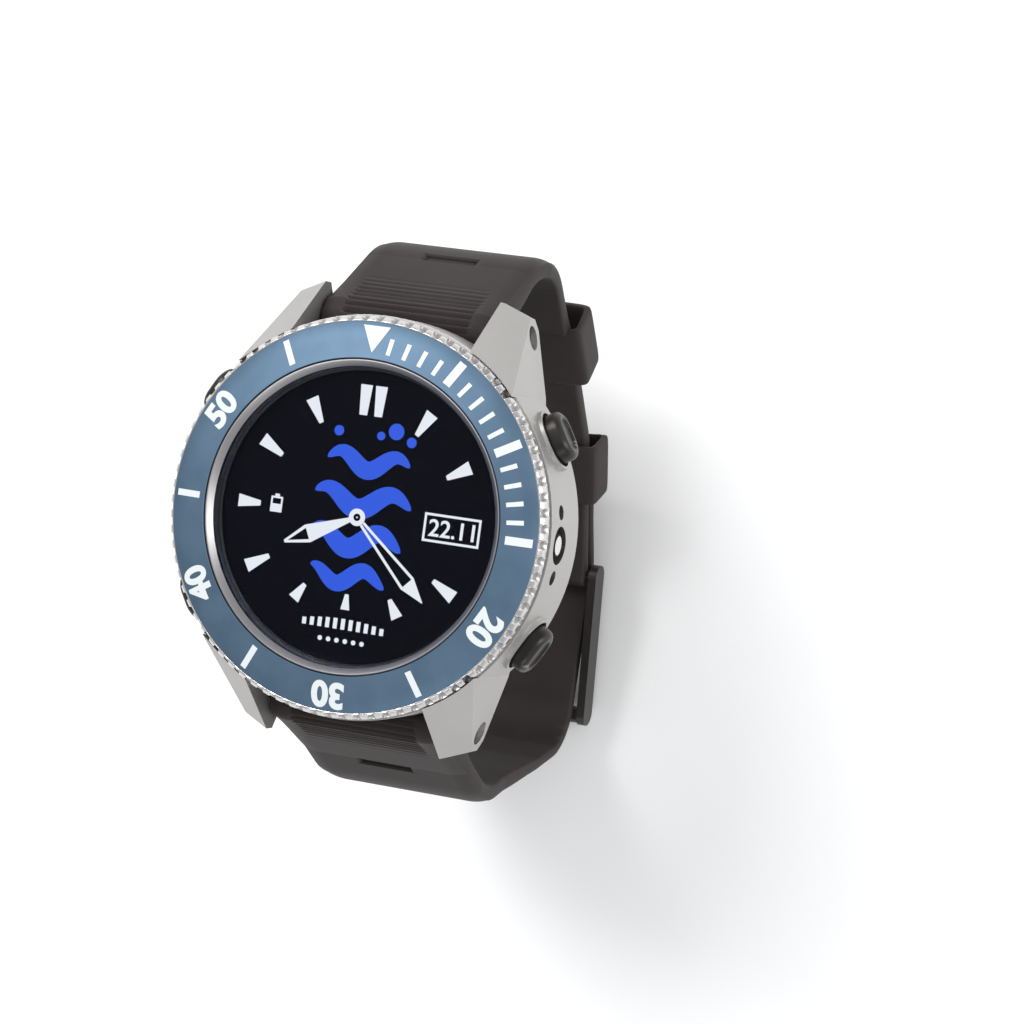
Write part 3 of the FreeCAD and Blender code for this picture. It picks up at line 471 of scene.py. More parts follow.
def numeral(name, text, size, weight, place, finish, body):
    """A number as a thin solid: flat letters (u, v), moved by place(u, v) -> (x, y, z) in mm."""
    curve = bpy.data.curves.new(name, "FONT")
    curve.body = text
    curve.size = size
    curve.offset = weight
    curve.align_x = "CENTER"
    curve.align_y = "CENTER"
    curve.extrude = 0.5
    curve.resolution_u = 6
    holder = bpy.data.objects.new(name + "_curve", curve)
    mesh = bpy.data.meshes.new_from_object(holder)
    bpy.data.objects.remove(holder)
    flat = np.empty(len(mesh.vertices) * 3)
    mesh.vertices.foreach_get("co", flat)
    flat = flat.reshape(-1, 3)
    flat[:, :2] -= (flat[:, :2].min(0) + flat[:, :2].max(0)) / 2
    x, y, z = place(flat[:, 0], flat[:, 1])
    solid = np.stack([x, y, z + 0.025 * np.sign(flat[:, 2])], -1) * MM
    mesh.vertices.foreach_set("co", solid.ravel())
    mesh.name = name
    work = bmesh.new()
    work.from_mesh(mesh)
    bmesh.ops.remove_doubles(work, verts=work.verts, dist=1e-8)
    bmesh.ops.recalc_face_normals(work, faces=work.faces)
    work.to_mesh(mesh)
    work.free()
    mesh.materials.clear()
    mesh.materials.append(finish.material)
    piece = bpy.data.objects.new(name, mesh)
    bpy.context.scene.collection.objects.link(piece)
    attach(piece, body)
    return piece


for minute in (20, 30, 40, 50):
    heading = math.radians(90 - 6 * minute)

    def on_insert(u, v, heading=heading):
        """Text on the insert: v runs outwards from the middle radius and u clockwise."""
        x = (20.45 + v) * math.cos(heading) + u * math.sin(heading)
        y = (20.45 + v) * math.sin(heading) - u * math.cos(heading)
        return x, y, insert_face(np.hypot(x, y))

    numeral("bezel_numeral_%d" % minute, str(minute), 4.05, 0.17, on_insert, lacquer, "bezel")


# ---------------------------------------------------------------- crystal and its ring
# The sapphire is coated against reflections and sits in a polished steel ring, whose inner face
# slopes down to it.
ring_outline = [(16.85, 12.05), (18.05, 12.05), (18.05, 14.75), (17.97, 14.85), (17.88, 14.86),
                (17.78, 14.8), (17.4, 14.25), (17.27, 14.12), (17.27, 12.3), (16.85, 12.3)]
ring_steel = turned_steel("crystal ring steel", (0.36, 0.345, 0.345), 0.28, 3000.0)
sheet("crystal_polished_ring", revolve(ring_outline, 360), ring_steel, "root", "polished_steel",
      "crystal_ring", around=True, along=True)

glass = Finish("coated sapphire", (1.0, 1.0, 1.0), Roughness=0.02)
clear = glass.node("BsdfTransparent", {}, (0.97, 0.98, 1.0, 1), out=0)
gloss = glass.node("BsdfGlossy", {}, Color=(0.75, 0.82, 1.0, 1), Roughness=0.03, out=0)
weight = glass.node("Fresnel", {}, 1.09, out=0)
mixed = glass.node("MixShader", {}, weight, clear, gloss, out=0)
glass.tree.links.new(mixed.socket, glass.tree.nodes["Material Output"].inputs["Surface"])
crystal_outline = [(0.0, 12.6), (17.1, 12.6), (17.25, 12.68), (17.25, 14.0), (17.05, 14.2), (0.0, 14.2)]
sheet("crystal_glass_disc", revolve(crystal_outline, 240), glass, "root", "crystal_glass", "crystal",
      around=True)


# ---------------------------------------------------------------- display
# A colour display behind the crystal shows a watch face: white hour marks, the date, a battery
# sign, two hands and a plain blue picture of waves with bubbles, over black.
panel_black = Finish("display black", (0.002, 0.002, 0.004), Specular_IOR_Level=0.06)
panel_black.drive(Roughness=0.22 + panel_black.noise(60.0) * 0.08)
panel_outline = [(0.0, 11.5), (16.8, 11.5), (16.85, 11.55), (16.85, 12.47), (16.82, 12.5), (0.0, 12.5)]
sheet("display_black_panel", revolve(panel_outline, 240), panel_black, "root", "display", "display_panel",
      around=True)


def lit(name, colour, strength):
    """Lit dots of the display: a colour with a very fine grid of its dots."""
    glow = Finish(name, (0.0, 0.0, 0.0), Roughness=0.4)
    waves = [part.maths("SINE", part * 47000.0) for part in glow.axes()[:2]]
    dots = 0.94 + waves[0] * waves[1] * 0.06
    shade = glow.blend(dots, (0.0, 0.0, 0.0), colour)
    glow.shader.inputs["Emission Strength"].default_value = strength
    return glow.drive(Emission_Color=shade)


lit_white = lit("display white", (0.90, 0.93, 0.96), 0.95)
lit_blue = lit("display blue", (0.006, 0.085, 0.74), 1.0)


def face_layer(level):
    """Height of a layer of the picture above the panel, by its number."""
    return lambda r: 12.512 + 0.012 * level + 0 * r


hour_marks = [(90 - 30 * hour, 11.75, 14.85, 0.55, 1.6) for hour in (1, 2, 4, 8, 10, 11)]
hour_marks += [(180, 12.1, 14.9, 0.6, 1.5), (90 + 148, 10.0, 12.2, 0.5, 1.45),
               (90 - 149, 10.2, 12.5, 0.5, 1.45), (270, 8.9, 10.7, 0.45, 1.1)]
slabs("face_hour_marks", tapered_bars(hour_marks, 0.004, face_layer(2)), lit_white, "root")
twelve = tapered_bars([(90, 11.7, 15.2, 0.95, 1.45), (90, 11.7, 15.2, 0.95, 1.45)], 0.004, face_layer(2))
twelve[0, ..., 0] -= 0.92
twelve[1, ..., 0] += 0.92
slabs("face_twelve_marks", twelve, lit_white, "root")


def ribbon(curve_points, widths, level):
    """A flat band of the given widths along a line, both in millimetres, as slab points."""
    line = np.asarray(curve_points, float)
    ahead = np.gradient(line, axis=0)
    ahead /= np.linalg.norm(ahead, axis=1)[:, None]
    left = np.stack([-ahead[:, 1], ahead[:, 0]], -1)
    s = np.linspace(-0.5, 0.5, 3)
    flat = line[:, None] + left[:, None] * (np.asarray(widths)[:, None] * s)[..., None]
    z = face_layer(level)(0) + np.zeros(flat.shape[:2])
    return np.stack([np.dstack([flat, z - 0.004]), np.dstack([flat, z + 0.004])])[None]


t = np.linspace(0, 1, 60)
waves = [(-4.6, 5.6, 6.4, 0.95, 2.1), (-5.6, 6.4, 2.0, 1.05, 2.4),
         (-5.4, 5.8, -2.6, 1.05, 2.4), (-5.0, 4.4, -6.9, 0.9, 2.0)]
for number, (x0, x1, y0, rise, thick) in enumerate(waves):
    wave = np.stack([x0 + (x1 - x0) * t, y0 + rise * np.sin(2 * np.pi * 1.5 * t + 0.4 * number)], -1)
    slabs("face_wave_%d" % (number + 1), ribbon(wave, thick * np.sin(np.pi * t) ** 0.5, 0), lit_blue,
          "root")


def ring_flat(x, y, inner, outer, level):
    """A flat ring round (x, y) as slab points; inner may be nearly 0 for a disc."""
    a = np.linspace(0, 2 * np.pi, 49)
    line = np.stack([x + (inner + outer) / 2 * np.cos(a), y + (inner + outer) / 2 * np.sin(a)], -1)
    s = np.array([inner, outer])[None, :] / ((inner + outer) / 2)
    flat = np.array([x, y]) + (line - [x, y])[:, None] * s[..., None]
    z = face_layer(level)(0) + np.zeros(flat.shape[:2])
    return np.stack([np.dstack([flat, z - 0.004]), np.dstack([flat, z + 0.004])])[None]


bubbles = [(3.4, 10.3, 0.95), (5.4, 9.3, 0.6), (1.6, 9.6, 0.5), (-3.6, 9.6, 0.6)]
slabs("face_bubbles", np.concatenate([ring_flat(x, y, 0.01, r, 0) for x, y, r in bubbles]), lit_blue,
      "root")


def hand(length, angle, outline, level):
    """Flat bands that draw a hand, each with its two ends (along, aside) and its width at both.

    Along is a share of the hand's length, and aside is in millimetres to the left of it.
    """
    heading = np.array([math.cos(math.radians(angle)), math.sin(math.radians(angle))])
    side = np.array([-heading[1], heading[0]])
    parts = []
    for (u0, v0), (u1, v1), w0, w1 in outline:
        line = np.linspace(heading * u0 * length + side * v0, heading * u1 * length + side * v1, 12)
        parts.append(ribbon(line, np.linspace(w0, w1, 12), level))
    return np.concatenate(parts)


hour_hand = [((0.10, 0), (0.68, 0), 0.55, 2.15), ((0.67, 0.90), (1.0, 0.03), 0.38, 0.28),
             ((0.67, -0.90), (1.0, -0.03), 0.38, 0.28)]
slabs("face_hour_hand", hand(9.4, 204.8, hour_hand, 4), lit_white, "root")
minute_hand = [((0.08, 0.2), (0.78, 0.86), 0.32, 0.32), ((0.08, -0.2), (0.78, -0.86), 0.32, 0.32),
               ((0.77, 0), (1.0, 0), 2.05, 0.1)]
slabs("face_minute_hand", hand(12.6, -42.9, minute_hand, 4), lit_white, "root")
slabs("face_hub", np.concatenate([ring_flat(0, 0, 0.42, 1.0, 5), ring_flat(0, 0, 0.01, 0.1, 5)]), lit_white,
      "root")
slabs("face_hub_gap", ring_flat(0, 0, 0.09, 0.43, 5), panel_black, "root")


def frame_lines(x0, x1, y0, y1, thick, level):
    """Four bands round a rectangle."""
    pad = thick / 2
    runs = [((x0 - pad, y0), (x1 + pad, y0)), ((x0 - pad, y1), (x1 + pad, y1)),
            ((x0, y0), (x0, y1)), ((x1, y0), (x1, y1))]
    return np.concatenate([ribbon(np.linspace(a, b, 4), np.full(4, thick), level) for a, b in runs])


slabs("face_date_frame", frame_lines(8.3, 14.9, -1.4, 1.6, 0.28, 2), lit_white, "root")
slabs("face_battery_sign", np.concatenate([
    frame_lines(-10.75, -9.5, -0.65, 0.95, 0.22, 2), frame_lines(-10.3, -9.95, 1.15, 1.25, 0.22, 2),
    ribbon(np.array([(-10.1, -0.55), (-10.1, -0.3), (-10.1, 0.0), (-10.1, 0.2)]), np.full(4, 1.1), 2)]),
    lit_white, "root")
numeral("face_date", "22.11", 2.75, 0.035, lambda u, v: (11.6 + u, 0.1 + v, 12.54 + 0 * u), lit_white,
        "root")
gauge = [ribbon(np.array([(x, -13.0), (x, -12.8), (x, -12.6), (x, -12.35 + 0.6 * (1 - (x / 5.5) ** 2))]),
                np.full(4, 0.5), 2) for x in np.linspace(-4.8, 4.8, 11)]
slabs("face_gauge_bars", np.concatenate(gauge), lit_white, "root")
dots = [ring_flat(x, -14.3, 0.01, 0.28, 2) for x in np.linspace(-2.6, 2.6, 6)]
slabs("face_gauge_dots", np.concatenate(dots), lit_white, "root")


# ---------------------------------------------------------------- upper strap leaf
# The strap is moulded from dark rubber with a matt grain.  The short leaf runs from the upper
# lugs, where it is thick round its bar and ribbed across, to the buckle's bar.
class Rubber(Finish):
    """Matt rubber with a fine grain, with a painted highlight where it is raised and painted shade in its
    grooves.
    """

    def __init__(self, name, dark, light):
        super().__init__(name, dark, Specular_IOR_Level=0.12, Sheen_Weight=0.05, Sheen_Roughness=0.4)
        grain = self.noise(7000.0, detail=4.0, rough=0.6)
        cloud = self.noise(55.0, detail=5.0)
        raised = self.node("NewGeometry", {}, out="Pointiness")
        raised_painted_highlight = raised.step(0.50, 0.56)
        tone = self.blend(cloud.step(0.3, 0.75), dark, light)
        # Painted shade: the grooves, found by low pointiness, are darkened nearly to black.
        groove_painted_shade = 1 - raised.step(0.44, 0.495)
        tone = self.blend(groove_painted_shade * 0.8, tone, (0.004, 0.0035, 0.0035))
        # Painted highlight: the raised edges, found by high pointiness, are made paler.
        tone = self.blend(raised_painted_highlight * 0.35, tone, [1.9 * part for part in light])
        self.drive(Base_Color=tone, Roughness=0.50 + grain * 0.14 + cloud * 0.08,
                   Normal=self.bump(grain, 0.30, 0.00003))


rubber = Rubber("strap rubber", (0.028, 0.0225, 0.0215), (0.037, 0.031, 0.030))


def rounded_line(corners, radii, s):
    """Points and headings at lengths s along straight runs joined by arcs of the given radii.

    Lengths below 0 or past the end carry on straight.  A corner's arc starts radius times the
    tangent of half its turn before it.
    """
    corners = np.array(corners, float)
    heads = np.diff(corners, axis=0)
    heads /= np.linalg.norm(heads, axis=1)[:, None]
    cross = heads[:-1, 0] * heads[1:, 1] - heads[:-1, 1] * heads[1:, 0]
    turns = np.arctan2(cross, (heads[:-1] * heads[1:]).sum(1))
    reach = np.array(radii) * np.abs(np.tan(turns / 2))
    points = np.zeros((len(s), 2))
    angle = np.zeros(len(s))
    start, last = 0.0, corners[0]
    for k, head in enumerate(heads):
        begin = 0 if k == 0 else reach[k - 1]
        length = np.linalg.norm(corners[k + 1] - corners[k]) - begin - (reach[k] if k < len(reach) else 0)
        here = (s >= start) | (k == 0)
        points[here] = last + head * (s[here] - start)[:, None]
        angle[here] = math.atan2(head[1], head[0])
        start, last = start + length, last + head * length
        if k < len(reach):
            bend = (s[s >= start] - start) / radii[k] * np.sign(turns[k])
            side = np.array([-head[1], head[0]]) * np.sign(turns[k]) * radii[k]
            swing = np.stack([-side[0] * np.cos(bend) + side[1] * np.sin(bend),
                              -side[0] * np.sin(bend) - side[1] * np.cos(bend)], -1)
            points[s >= start] = last + side + swing
            angle[s >= start] = math.atan2(head[1], head[0]) + bend
            arc = radii[k] * abs(turns[k])
            over = last + side + [-side[0] * math.cos(turns[k]) + side[1] * math.sin(turns[k]),
                                  -side[0] * math.sin(turns[k]) - side[1] * math.cos(turns[k])]
            start, last = start + arc, over
    return points, angle, start


def strap_rows(points, angle, outer, inner, half_width, relief, outward=1):
    """Closed rows across a leaf, each round its section: face, edge, back, edge.

    A row's own plane is spanned by x across the wrist and the normal of the line.  The face
    lies outer from the line and falls 0.4 mm in soft shoulders 2 mm wide, and the edges are
    rounded by a superellipse 0.55 mm deep.  relief(s index, x) is added to the face.
    """
    u = np.linspace(1, -1, 73)
    face_x = u * (half_width - 0.45)[:, None]
    fall = np.clip((np.abs(face_x) - (half_width - 2.3)[:, None]) / 1.85, 0, 1) ** 2 * 0.4
    face_n = outer[:, None] - fall * np.clip(outer[:, None] / 1.0, 0, 1) + relief(face_x)
    psi = np.linspace(np.pi / 2, -np.pi / 2, 11)[1:-1]
    top = face_n[:, :1]
    low = -inner[:, None]
    round_x = 0.45 * np.abs(np.cos(psi)) ** 0.6
    round_n = (top + low) / 2 + (top - low) / 2 * np.sign(np.sin(psi)) * np.abs(np.sin(psi)) ** 0.75
    edge = (half_width - 0.45)[:, None]
    back_x = np.linspace(-1, 1, 25) * edge
    back_n = low + 0 * back_x
    x = np.hstack([face_x, -edge - round_x, back_x, edge + round_x])
    n = np.hstack([face_n, round_n, back_n, round_n[:, ::-1]])
    normal = np.stack([-np.sin(angle), np.cos(angle)], -1) * outward
    yz = points[:, None] + normal[:, None] * n[..., None]
    return np.dstack([x, yz])


def cut_away(piece, shapes):
    """Cuts closed shapes, each (points, faces) in millimetres, out of a piece for good."""
    for points, faces in shapes:
        mesh = bpy.data.meshes.new("cutter")
        mesh.from_pydata(np.asarray(points) * MM, [], faces)
        work = bmesh.new()
        work.from_mesh(mesh)
        bmesh.ops.recalc_face_normals(work, faces=work.faces)
        work.to_mesh(mesh)
        work.free()
        cutter = bpy.data.objects.new("cutter", mesh)
        bpy.context.scene.collection.objects.link(cutter)
        cut = piece.modifiers.new("cut", "BOOLEAN")
        cut.operation = "DIFFERENCE"
        cut.solver = "EXACT"
        cut.object = cutter
        bpy.context.view_layer.update()
        graph = bpy.context.evaluated_depsgraph_get()
        result = bpy.data.meshes.new_from_object(piece.evaluated_get(graph))
        piece.modifiers.remove(cut)
        piece.data = result
        bpy.data.objects.remove(cutter)
    piece.data.polygons.foreach_set("use_smooth", [True] * len(piece.data.polygons))
    piece.data.set_sharp_from_angle(angle=math.radians(40))


def rod(start, end, r, count=32):
    """A closed rod between two points as (points, faces): two rings of count points."""
    start, end = np.array(start, float), np.array(end, float)
    ahead = (end - start) / np.linalg.norm(end - start)
    side = np.cross(ahead, [0.3, 0.5, 0.81])
    side /= np.linalg.norm(side)
    other = np.cross(ahead, side)
    a = np.linspace(0, 2 * np.pi, count, endpoint=False)[:, None]
    ring = r * (np.cos(a) * side + np.sin(a) * other)
    k = np.arange(count)
    sides = np.stack([k, (k + 1) % count, (k + 1) % count + count, k + count], -1).tolist()
    return np.vstack([start + ring, end + ring]), sides + [k[::-1].tolist(), (k + count).tolist()]


def leaf_width(z):
    """Half width of the strap: 10.8 mm down to z -13, and 9.8 mm below z -25."""
    t = np.clip((-13 - z) / 12, 0, 1)
    return 10.78 - 1.0 * t


def root_thickness(s, flat):
    """Half the thickness from the bar: a 2.5 mm round, thinning to flat at 12 mm along."""
    ramp = np.interp(s, [0, 12], [2.5, flat])
    soft = flat + (ramp - flat) * (1 - 0.15 * np.sin(np.pi * np.clip(s / 12, 0, 1)))
    return np.where(s < 0, np.sqrt(np.clip(2.5 ** 2 - s ** 2, 0, None)), soft)


def rib_depth(s):
    """Cross grooves: wide ones over the round of the bar, then fine ones that fade out.

    The distance over the surface is s on the straight run and an arc of radius 2.5 round the bar.
    """
    over = np.where(s < 0, -2.5 * np.arcsin(np.clip(-s / 2.5, 0, 1)), s)
    wide = np.clip((over + 3.0) / 0.2, 0, 1) * np.clip((0.62 - over) / 0.2, 0, 1)
    fine = np.clip((over - 0.62) / 0.2, 0, 1) * np.clip((6.6 - over) / 4.0, 0, 1)
    return (wide * 0.6 * np.abs(np.cos(np.pi * (over - 0.2) / 0.95)) ** 2
            + fine * 0.22 * np.abs(np.cos(np.pi * (over - 1.25) / 0.95)) ** 2)


def lug_steps(length, end_radius):
    """Lengths along a leaf: close together round the bar and over the ribs, then wider."""
    cap = -2.5 * np.cos(np.linspace(0, np.pi / 2, 42, endpoint=False))
    ribs = np.arange(0, 14.0, 0.1)
    rest = np.arange(14.0, length - 0.2, 0.35)
    end = length + end_radius * np.sin(np.linspace(0, np.pi / 2, 10))
    return np.concatenate([cap, ribs, rest, end])


upper_corners = [(23.1, 3.2), (34.7, -12.8), (23.6, -29.2), (12.1, -40.5), (-5.8, -47.9)]
upper_radii = [11.7, 16.0, 7.0]
_, _, upper_length = rounded_line(upper_corners, upper_radii, np.zeros(1))
flat_half, loop_half = 1.15, 1.43
s = lug_steps(upper_length, 1.45)
line, heading, _ = rounded_line(upper_corners, upper_radii, s)
thick = root_thickness(s, flat_half)
near_end = np.clip((s - upper_length + 3.0) / 3.0, 0, 1)
thick = thick + (loop_half - flat_half) * near_end ** 2
loop_round = np.sqrt(np.clip(loop_half ** 2 - (s - upper_length) ** 2, 0, None))
thick = np.where(s > upper_length, loop_round, thick)


def relief_of(s):
    """Ribs over the middle 16 mm of a leaf, and a shallow slot 7 mm wide on its arch."""
    slot_at, slot_depth = 12.7, 0.45

    def relief(x):
        ribs = rib_depth(s)[:, None] * np.clip((8.0 - np.abs(x)) / 0.35, 0, 1)
        along = np.clip((0.85 - np.abs(s - slot_at)) / 0.15, 0, 1)[:, None]
        across = np.clip((3.5 - np.abs(x)) / 0.25, 0, 1)
        return -ribs - slot_depth * (along * across)
    return relief


rows = strap_rows(line, heading, thick, thick, leaf_width(line[:, 1]), relief_of(s))
upper_leaf = sheet("strap_upper_leaf", rows, rubber, None, "strap_rubber", "strap_upper_band",
                   "strap_upper_end", around=True, sharp=40.0)
lug_bar_hole = rod((-15, 23.1, 3.2), (15, 23.1, 3.2), 1.0)
buckle_bar_hole = rod((-15, -5.8, -47.9), (15, -5.8, -47.9), 0.72)
tang_slot = rod((-1.2, -5.8, -47.9), (1.2, -5.8, -47.9), 2.55)
cut_away(upper_leaf, [lug_bar_hole, buckle_bar_hole, tang_slot])
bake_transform(upper_leaf)


# ---------------------------------------------------------------- lower strap leaf
# The long leaf is ribbed at the lower lugs like the short one.  It passes under the buckle's end
# bar and out over its pivot, with a row of holes for the tang, and ends in a rounded tip.
end_head = np.array([-17.9, -7.4]) / math.hypot(17.9, 7.4)
end_out = np.array([-end_head[1], end_head[0]])
over_pivot = np.array([-5.8, -47.9]) + 2.75 * np.array([0.274, -0.962])
lay = np.array([12.1, -40.5]) + 2.2 * end_out
lower_corners = [(-23.1, 3.2), (-33.35, -16.05), (-30.6, -37.48), (-28.2, -50.0), (-21.8, -49.6), over_pivot,
                 lay + 12.37 * end_head, lay - 1.4 * end_head]
lower_radii = [16.0, 30.0, 7.0, 12.0, 8.0, 16.0]
_, _, lower_length = rounded_line(lower_corners, lower_radii, np.zeros(1))
s = lug_steps(lower_length, 0.0)[:-9]
line, heading, _ = rounded_line(lower_corners, lower_radii, s)
to_tail = np.interp(s, [34, 44], [flat_half, 0.85])
thick = np.where(s < 12, root_thickness(s, flat_half), to_tail)
tip = np.clip((s - (lower_length - 7.0)) / 7.0, 0, 1)
thick = thick * np.sqrt(np.clip(1 - tip ** 6, 0.0, 1))
width = leaf_width(line[:, 1]) * (1 - 0.45 * tip ** 2.4)
rows = strap_rows(line, heading, thick, thick, width, relief_of(s), outward=-1)
lower_leaf = sheet("strap_lower_leaf", rows, rubber, None, "strap_rubber", "strap_lower_band",
                   "strap_tail", around=True, sharp=40.0)
holes = [rod((-15, -23.1, 3.2), (15, -23.1, 3.2), 1.0)]
for hole_s in lower_length - np.array([12.0, 18.0, 54.0, 60.0, 66.0]):
    place, way, _ = rounded_line(lower_corners, lower_radii, np.array([hole_s]))
    through = np.array([-math.sin(way[0]), math.cos(way[0])])
    holes.append(rod((0, *(place[0] - 2 * through)), (0, *(place[0] + 2 * through)), 0.95))
tang_box = np.array([(x, y, z) for x in (-1.2, 1.2) for y in (-12.2, -5.4) for z in (-56, -44)])
holes.append((tang_box, [(0, 1, 3, 2), (4, 6, 7, 5), (0, 4, 5, 1), (2, 3, 7, 6), (0, 2, 6, 4), (1, 5, 7, 3)]))
cut_away(lower_leaf, holes)
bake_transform(lower_leaf)


# ---------------------------------------------------------------- keepers
# Two moulded hoops of the same rubber.  One is part of the upper leaf and stands open for the
# strap's tip, and the other slides along both leaves and holds them together.
def hoop(low, high, half, wall, start, length, bevel, origin, ahead):
    """Rows round a hoop: a rounded box section carried round a rounded rectangle.

    The line goes round x = -half..half and n = low..high.  At each of its points the section
    spans the wall outwards and the length along the strap, with its corners rounded; over the
    roof, the section's corner towards the bevelled end is drawn in by bevel.
    """
    a = np.linspace(0, 2 * np.pi, 120, endpoint=False)
    power = 0.22
    cx = np.sign(np.cos(a)) * np.abs(np.cos(a)) ** power
    cn = np.sign(np.sin(a)) * np.abs(np.sin(a)) ** power
    b = np.linspace(0, 2 * np.pi, 40, endpoint=False)
    out = (np.sign(np.cos(b)) * np.abs(np.cos(b)) ** 0.45 + 1) / 2
    along = (np.sign(np.sin(b)) * np.abs(np.sin(b)) ** 0.28 + 1) / 2
    grow = wall * out[:, None]
    x = cx * (half - wall + grow)
    middle = (low + high) / 2
    n = middle + cn * ((high - low) / 2 + grow)
    roof = np.clip((n - high) / wall, 0, 1)
    first, last = bevel
    s0 = start + first * roof
    s1 = start + length - last * roof
    s = s0 + (s1 - s0) * along[:, None]
    out_way = np.array([-ahead[1], ahead[0]])
    yz = np.array(origin) + ahead * s[..., None] + out_way * n[..., None]
    return np.dstack([x, yz])


bend_head = np.array([-8.0, -8.28]) / math.hypot(8.0, 8.28)
sheet("keeper_hoop_fixed", hoop(-0.95, 3.45, 11.4, 0.9, 0.7 - 4.6, 9.2, (0.3, 1.6), (23.6, -29.2), bend_head),
      rubber, "strap_upper", "strap_rubber", "keeper_fixed", around=True, along=True, sharp=60.0)
sliding = hoop(-1.45, 3.35, 11.4, 0.9, 4.3 - 4.0, 8.0, (1.0, 0.3), (12.1, -40.5), end_head)
sheet("keeper_hoop_sliding", sliding, rubber, "keeper", "strap_rubber", "keeper_sliding",
      around=True, along=True, sharp=60.0)


# ---------------------------------------------------------------- buckle
# A flat steel frame of two side plates and an end bar, coated black, turns with its flat tang on
# a steel pin through the end of the upper leaf.
def black_coating():
    """Satin black coating with slow changes of sheen."""
    coat = Finish("black coating", (0.040, 0.036, 0.034), Metallic=0.7)
    fine = coat.noise(5200.0, detail=4.0)
    slow = coat.noise(140.0)
    tone = coat.blend(slow.step(0.3, 0.7), (0.036, 0.032, 0.030), (0.046, 0.041, 0.039))
    return coat.drive(Base_Color=tone, Roughness=0.30 + slow * 0.10 + fine * 0.08,
                      Normal=coat.bump(fine, 0.15, 0.00001))


black_steel = black_coating()
black_edge = rubbed_edge("worn black edge", (0.22, 0.205, 0.195), 0.25)
shell_of("buckle_frame", "buckle_black_frame", 0.20, "strap_back", black_steel, black_edge)
shell_of("buckle_tang", "buckle_black_tang", 0.12, "tang", black_steel, black_edge)
shell_of("buckle_bar", "buckle_pin", 0.08, "strap_back", black_steel, black_edge)


# ---------------------------------------------------------------- strap bar screws and port
# Slotted screws close the strap bars' holes in the lugs.  At 3 o'clock a bright plug in a ring
# groove covers the pressure sensor.
# Painted shade: the rounded edges of the screw heads and of the port plug are near black, a dark ring that
# stands for the shade of the gap round them.
shade_ring_edge = rubbed_edge("painted shade edge", (0.02, 0.02, 0.02), 0.5)
shell_of("strap_bar_screws", "lug_slotted_screws", 0.18, "root", steel_edge, shade_ring_edge,
         segments=2)
shell_of("pressure_port_plug", "port_bright_plug", 0.30, "root", bright, shade_ring_edge)


# ---------------------------------------------------------------- buttons
# Each button is an oval cap of dark coated steel on its stem.  Its outer end has a raised lip round
# a slightly sunken face.
gunmetal = Finish("gunmetal", (0.045, 0.041, 0.039), Metallic=0.85)
gun_fine = gunmetal.noise(6000.0, detail=4.0)
# Painted highlight: the caps' sharp edges, found by high pointiness, are much paler than their faces.
gun_edge_highlight = gunmetal.node("NewGeometry", {}, out="Pointiness").step(0.52, 0.60)
gun_tone = gunmetal.blend(gun_edge_highlight, (0.030, 0.027, 0.0255), (0.20, 0.185, 0.17))
gunmetal.drive(Base_Color=gun_tone, Roughness=0.30 + gun_fine * 0.12,
               Normal=gunmetal.bump(gun_fine, 0.2, 0.00001))


def oval_cap(angle):
    """Rows (drawn-in distance, distance from the dial's centre) carried round an oval 5.9 by 4.6."""
    profile = np.array([(2.3, 22.3), (0.3, 22.3), (0.08, 22.38), (0.0, 22.6), (0.0, 24.7), (0.06, 25.0),
                        (0.25, 25.27), (0.5, 25.43), (0.75, 25.48), (0.95, 25.46), (1.08, 25.36),
                        (1.16, 25.24), (1.3, 25.2), (1.8, 25.2), (2.3, 25.22)])
    a = np.linspace(0, 2 * np.pi, 96, endpoint=False)
    r = np.maximum(2.3 - profile[:, :1], 0)
    y = r * np.cos(a) + 0.65 * np.sign(np.round(np.cos(a), 6))
    z = 6.7 + r * np.sin(a)
    x = profile[:, 1:] + 0 * a
    c, d = math.cos(math.radians(angle)), math.sin(math.radians(angle))
    return np.stack([x * c - y * d, x * d + y * c, z], -1)


for clock, angle in button_angles:
    sheet("button_oval_cap_" + clock, oval_cap(angle), gunmetal, "button_" + clock, "black_steel",
          "button_cap_" + clock, around=True, sharp=50.0)


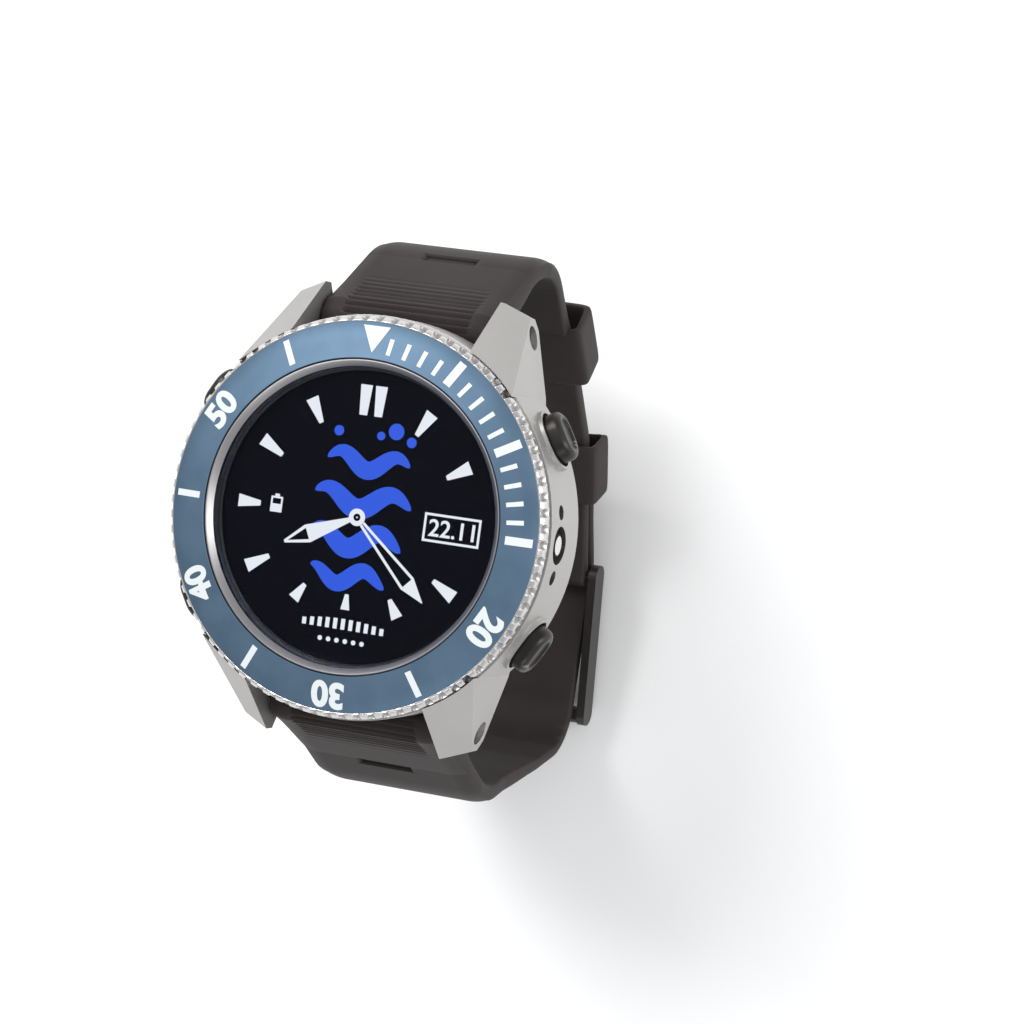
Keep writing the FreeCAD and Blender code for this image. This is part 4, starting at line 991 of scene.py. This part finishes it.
# ---------------------------------------------------------------- floor, lights and camera
# The watch stands on its buckle on a plain pale floor, under soft boxes, seen nearly straight on.
floor_finish = Finish("pale floor", (0.93, 0.93, 0.93), Roughness=0.85)
floor_finish.drive(Roughness=0.8 + floor_finish.noise(3.0) * 0.1)
floor_mesh = bpy.data.meshes.new("floor")
floor_z = cad_box[0][2] - 0.0002
floor_corners = [(-4, -4, floor_z), (4, -4, floor_z), (4, 4, floor_z), (-4, 4, floor_z)]
floor_mesh.from_pydata(floor_corners, [], [(0, 1, 2, 3)])
floor_mesh.materials.append(floor_finish.material)
floor = bpy.data.objects.new("floor", floor_mesh)
bpy.context.scene.collection.objects.link(floor)


def unit(*parts):
    return np.array(parts) / np.linalg.norm(parts)


def aimed(item, position, target, up):
    """Turns an object's -Z towards a target with its +Y nearest up."""
    back = unit(*(np.array(position) - target))
    right = unit(*np.cross(up, back))
    turned = np.stack([right, np.cross(back, right), back, position], 1)
    item.matrix_world = Matrix([*turned.tolist(), [0, 0, 0, 1]])
    bpy.context.scene.collection.objects.link(item)


def soft_box(name, position, size, power, colour=(1, 1, 1)):
    lamp = bpy.data.lights.new(name, "AREA")
    lamp.shape = "RECTANGLE"
    lamp.size, lamp.size_y = size
    lamp.energy = power
    lamp.color = colour
    up = (0, 0, 1) if abs(position[2]) < 0.5 else (0, 1, 0)
    aimed(bpy.data.objects.new(name, lamp), position, np.zeros(3), up)


soft_box("key", (-0.30, 0.42, 0.62), (0.55, 0.35), 5.0)
soft_box("side", (0.75, 0.15, 0.35), (0.35, 0.6), 2.9)
soft_box("low", (0.1, -0.62, 0.42), (0.6, 0.25), 1.1)

world = bpy.data.worlds.new("studio")
world.use_nodes = True
world.node_tree.nodes["Background"].inputs["Color"].default_value = (0.97, 0.98, 1.0, 1)
world.node_tree.nodes["Background"].inputs["Strength"].default_value = 0.62
bpy.context.scene.world = world
bpy.context.scene.view_settings.view_transform = "Standard"

camera = bpy.data.cameras.new("camera")
camera.lens = 105.47
camera.sensor_width = 36
camera.clip_start = 0.01
back = unit(0.318, 0.031, 0.947)
right = unit(0.938, 0.134, -0.320)
up = np.cross(back, right)
spot = np.array((0, 0, 0.014)) + 0.01820 * right + 0.000590 * up + 0.342 * back
view = bpy.data.objects.new("camera", camera)
aimed(view, spot, spot - back, up)
bpy.context.scene.camera = view
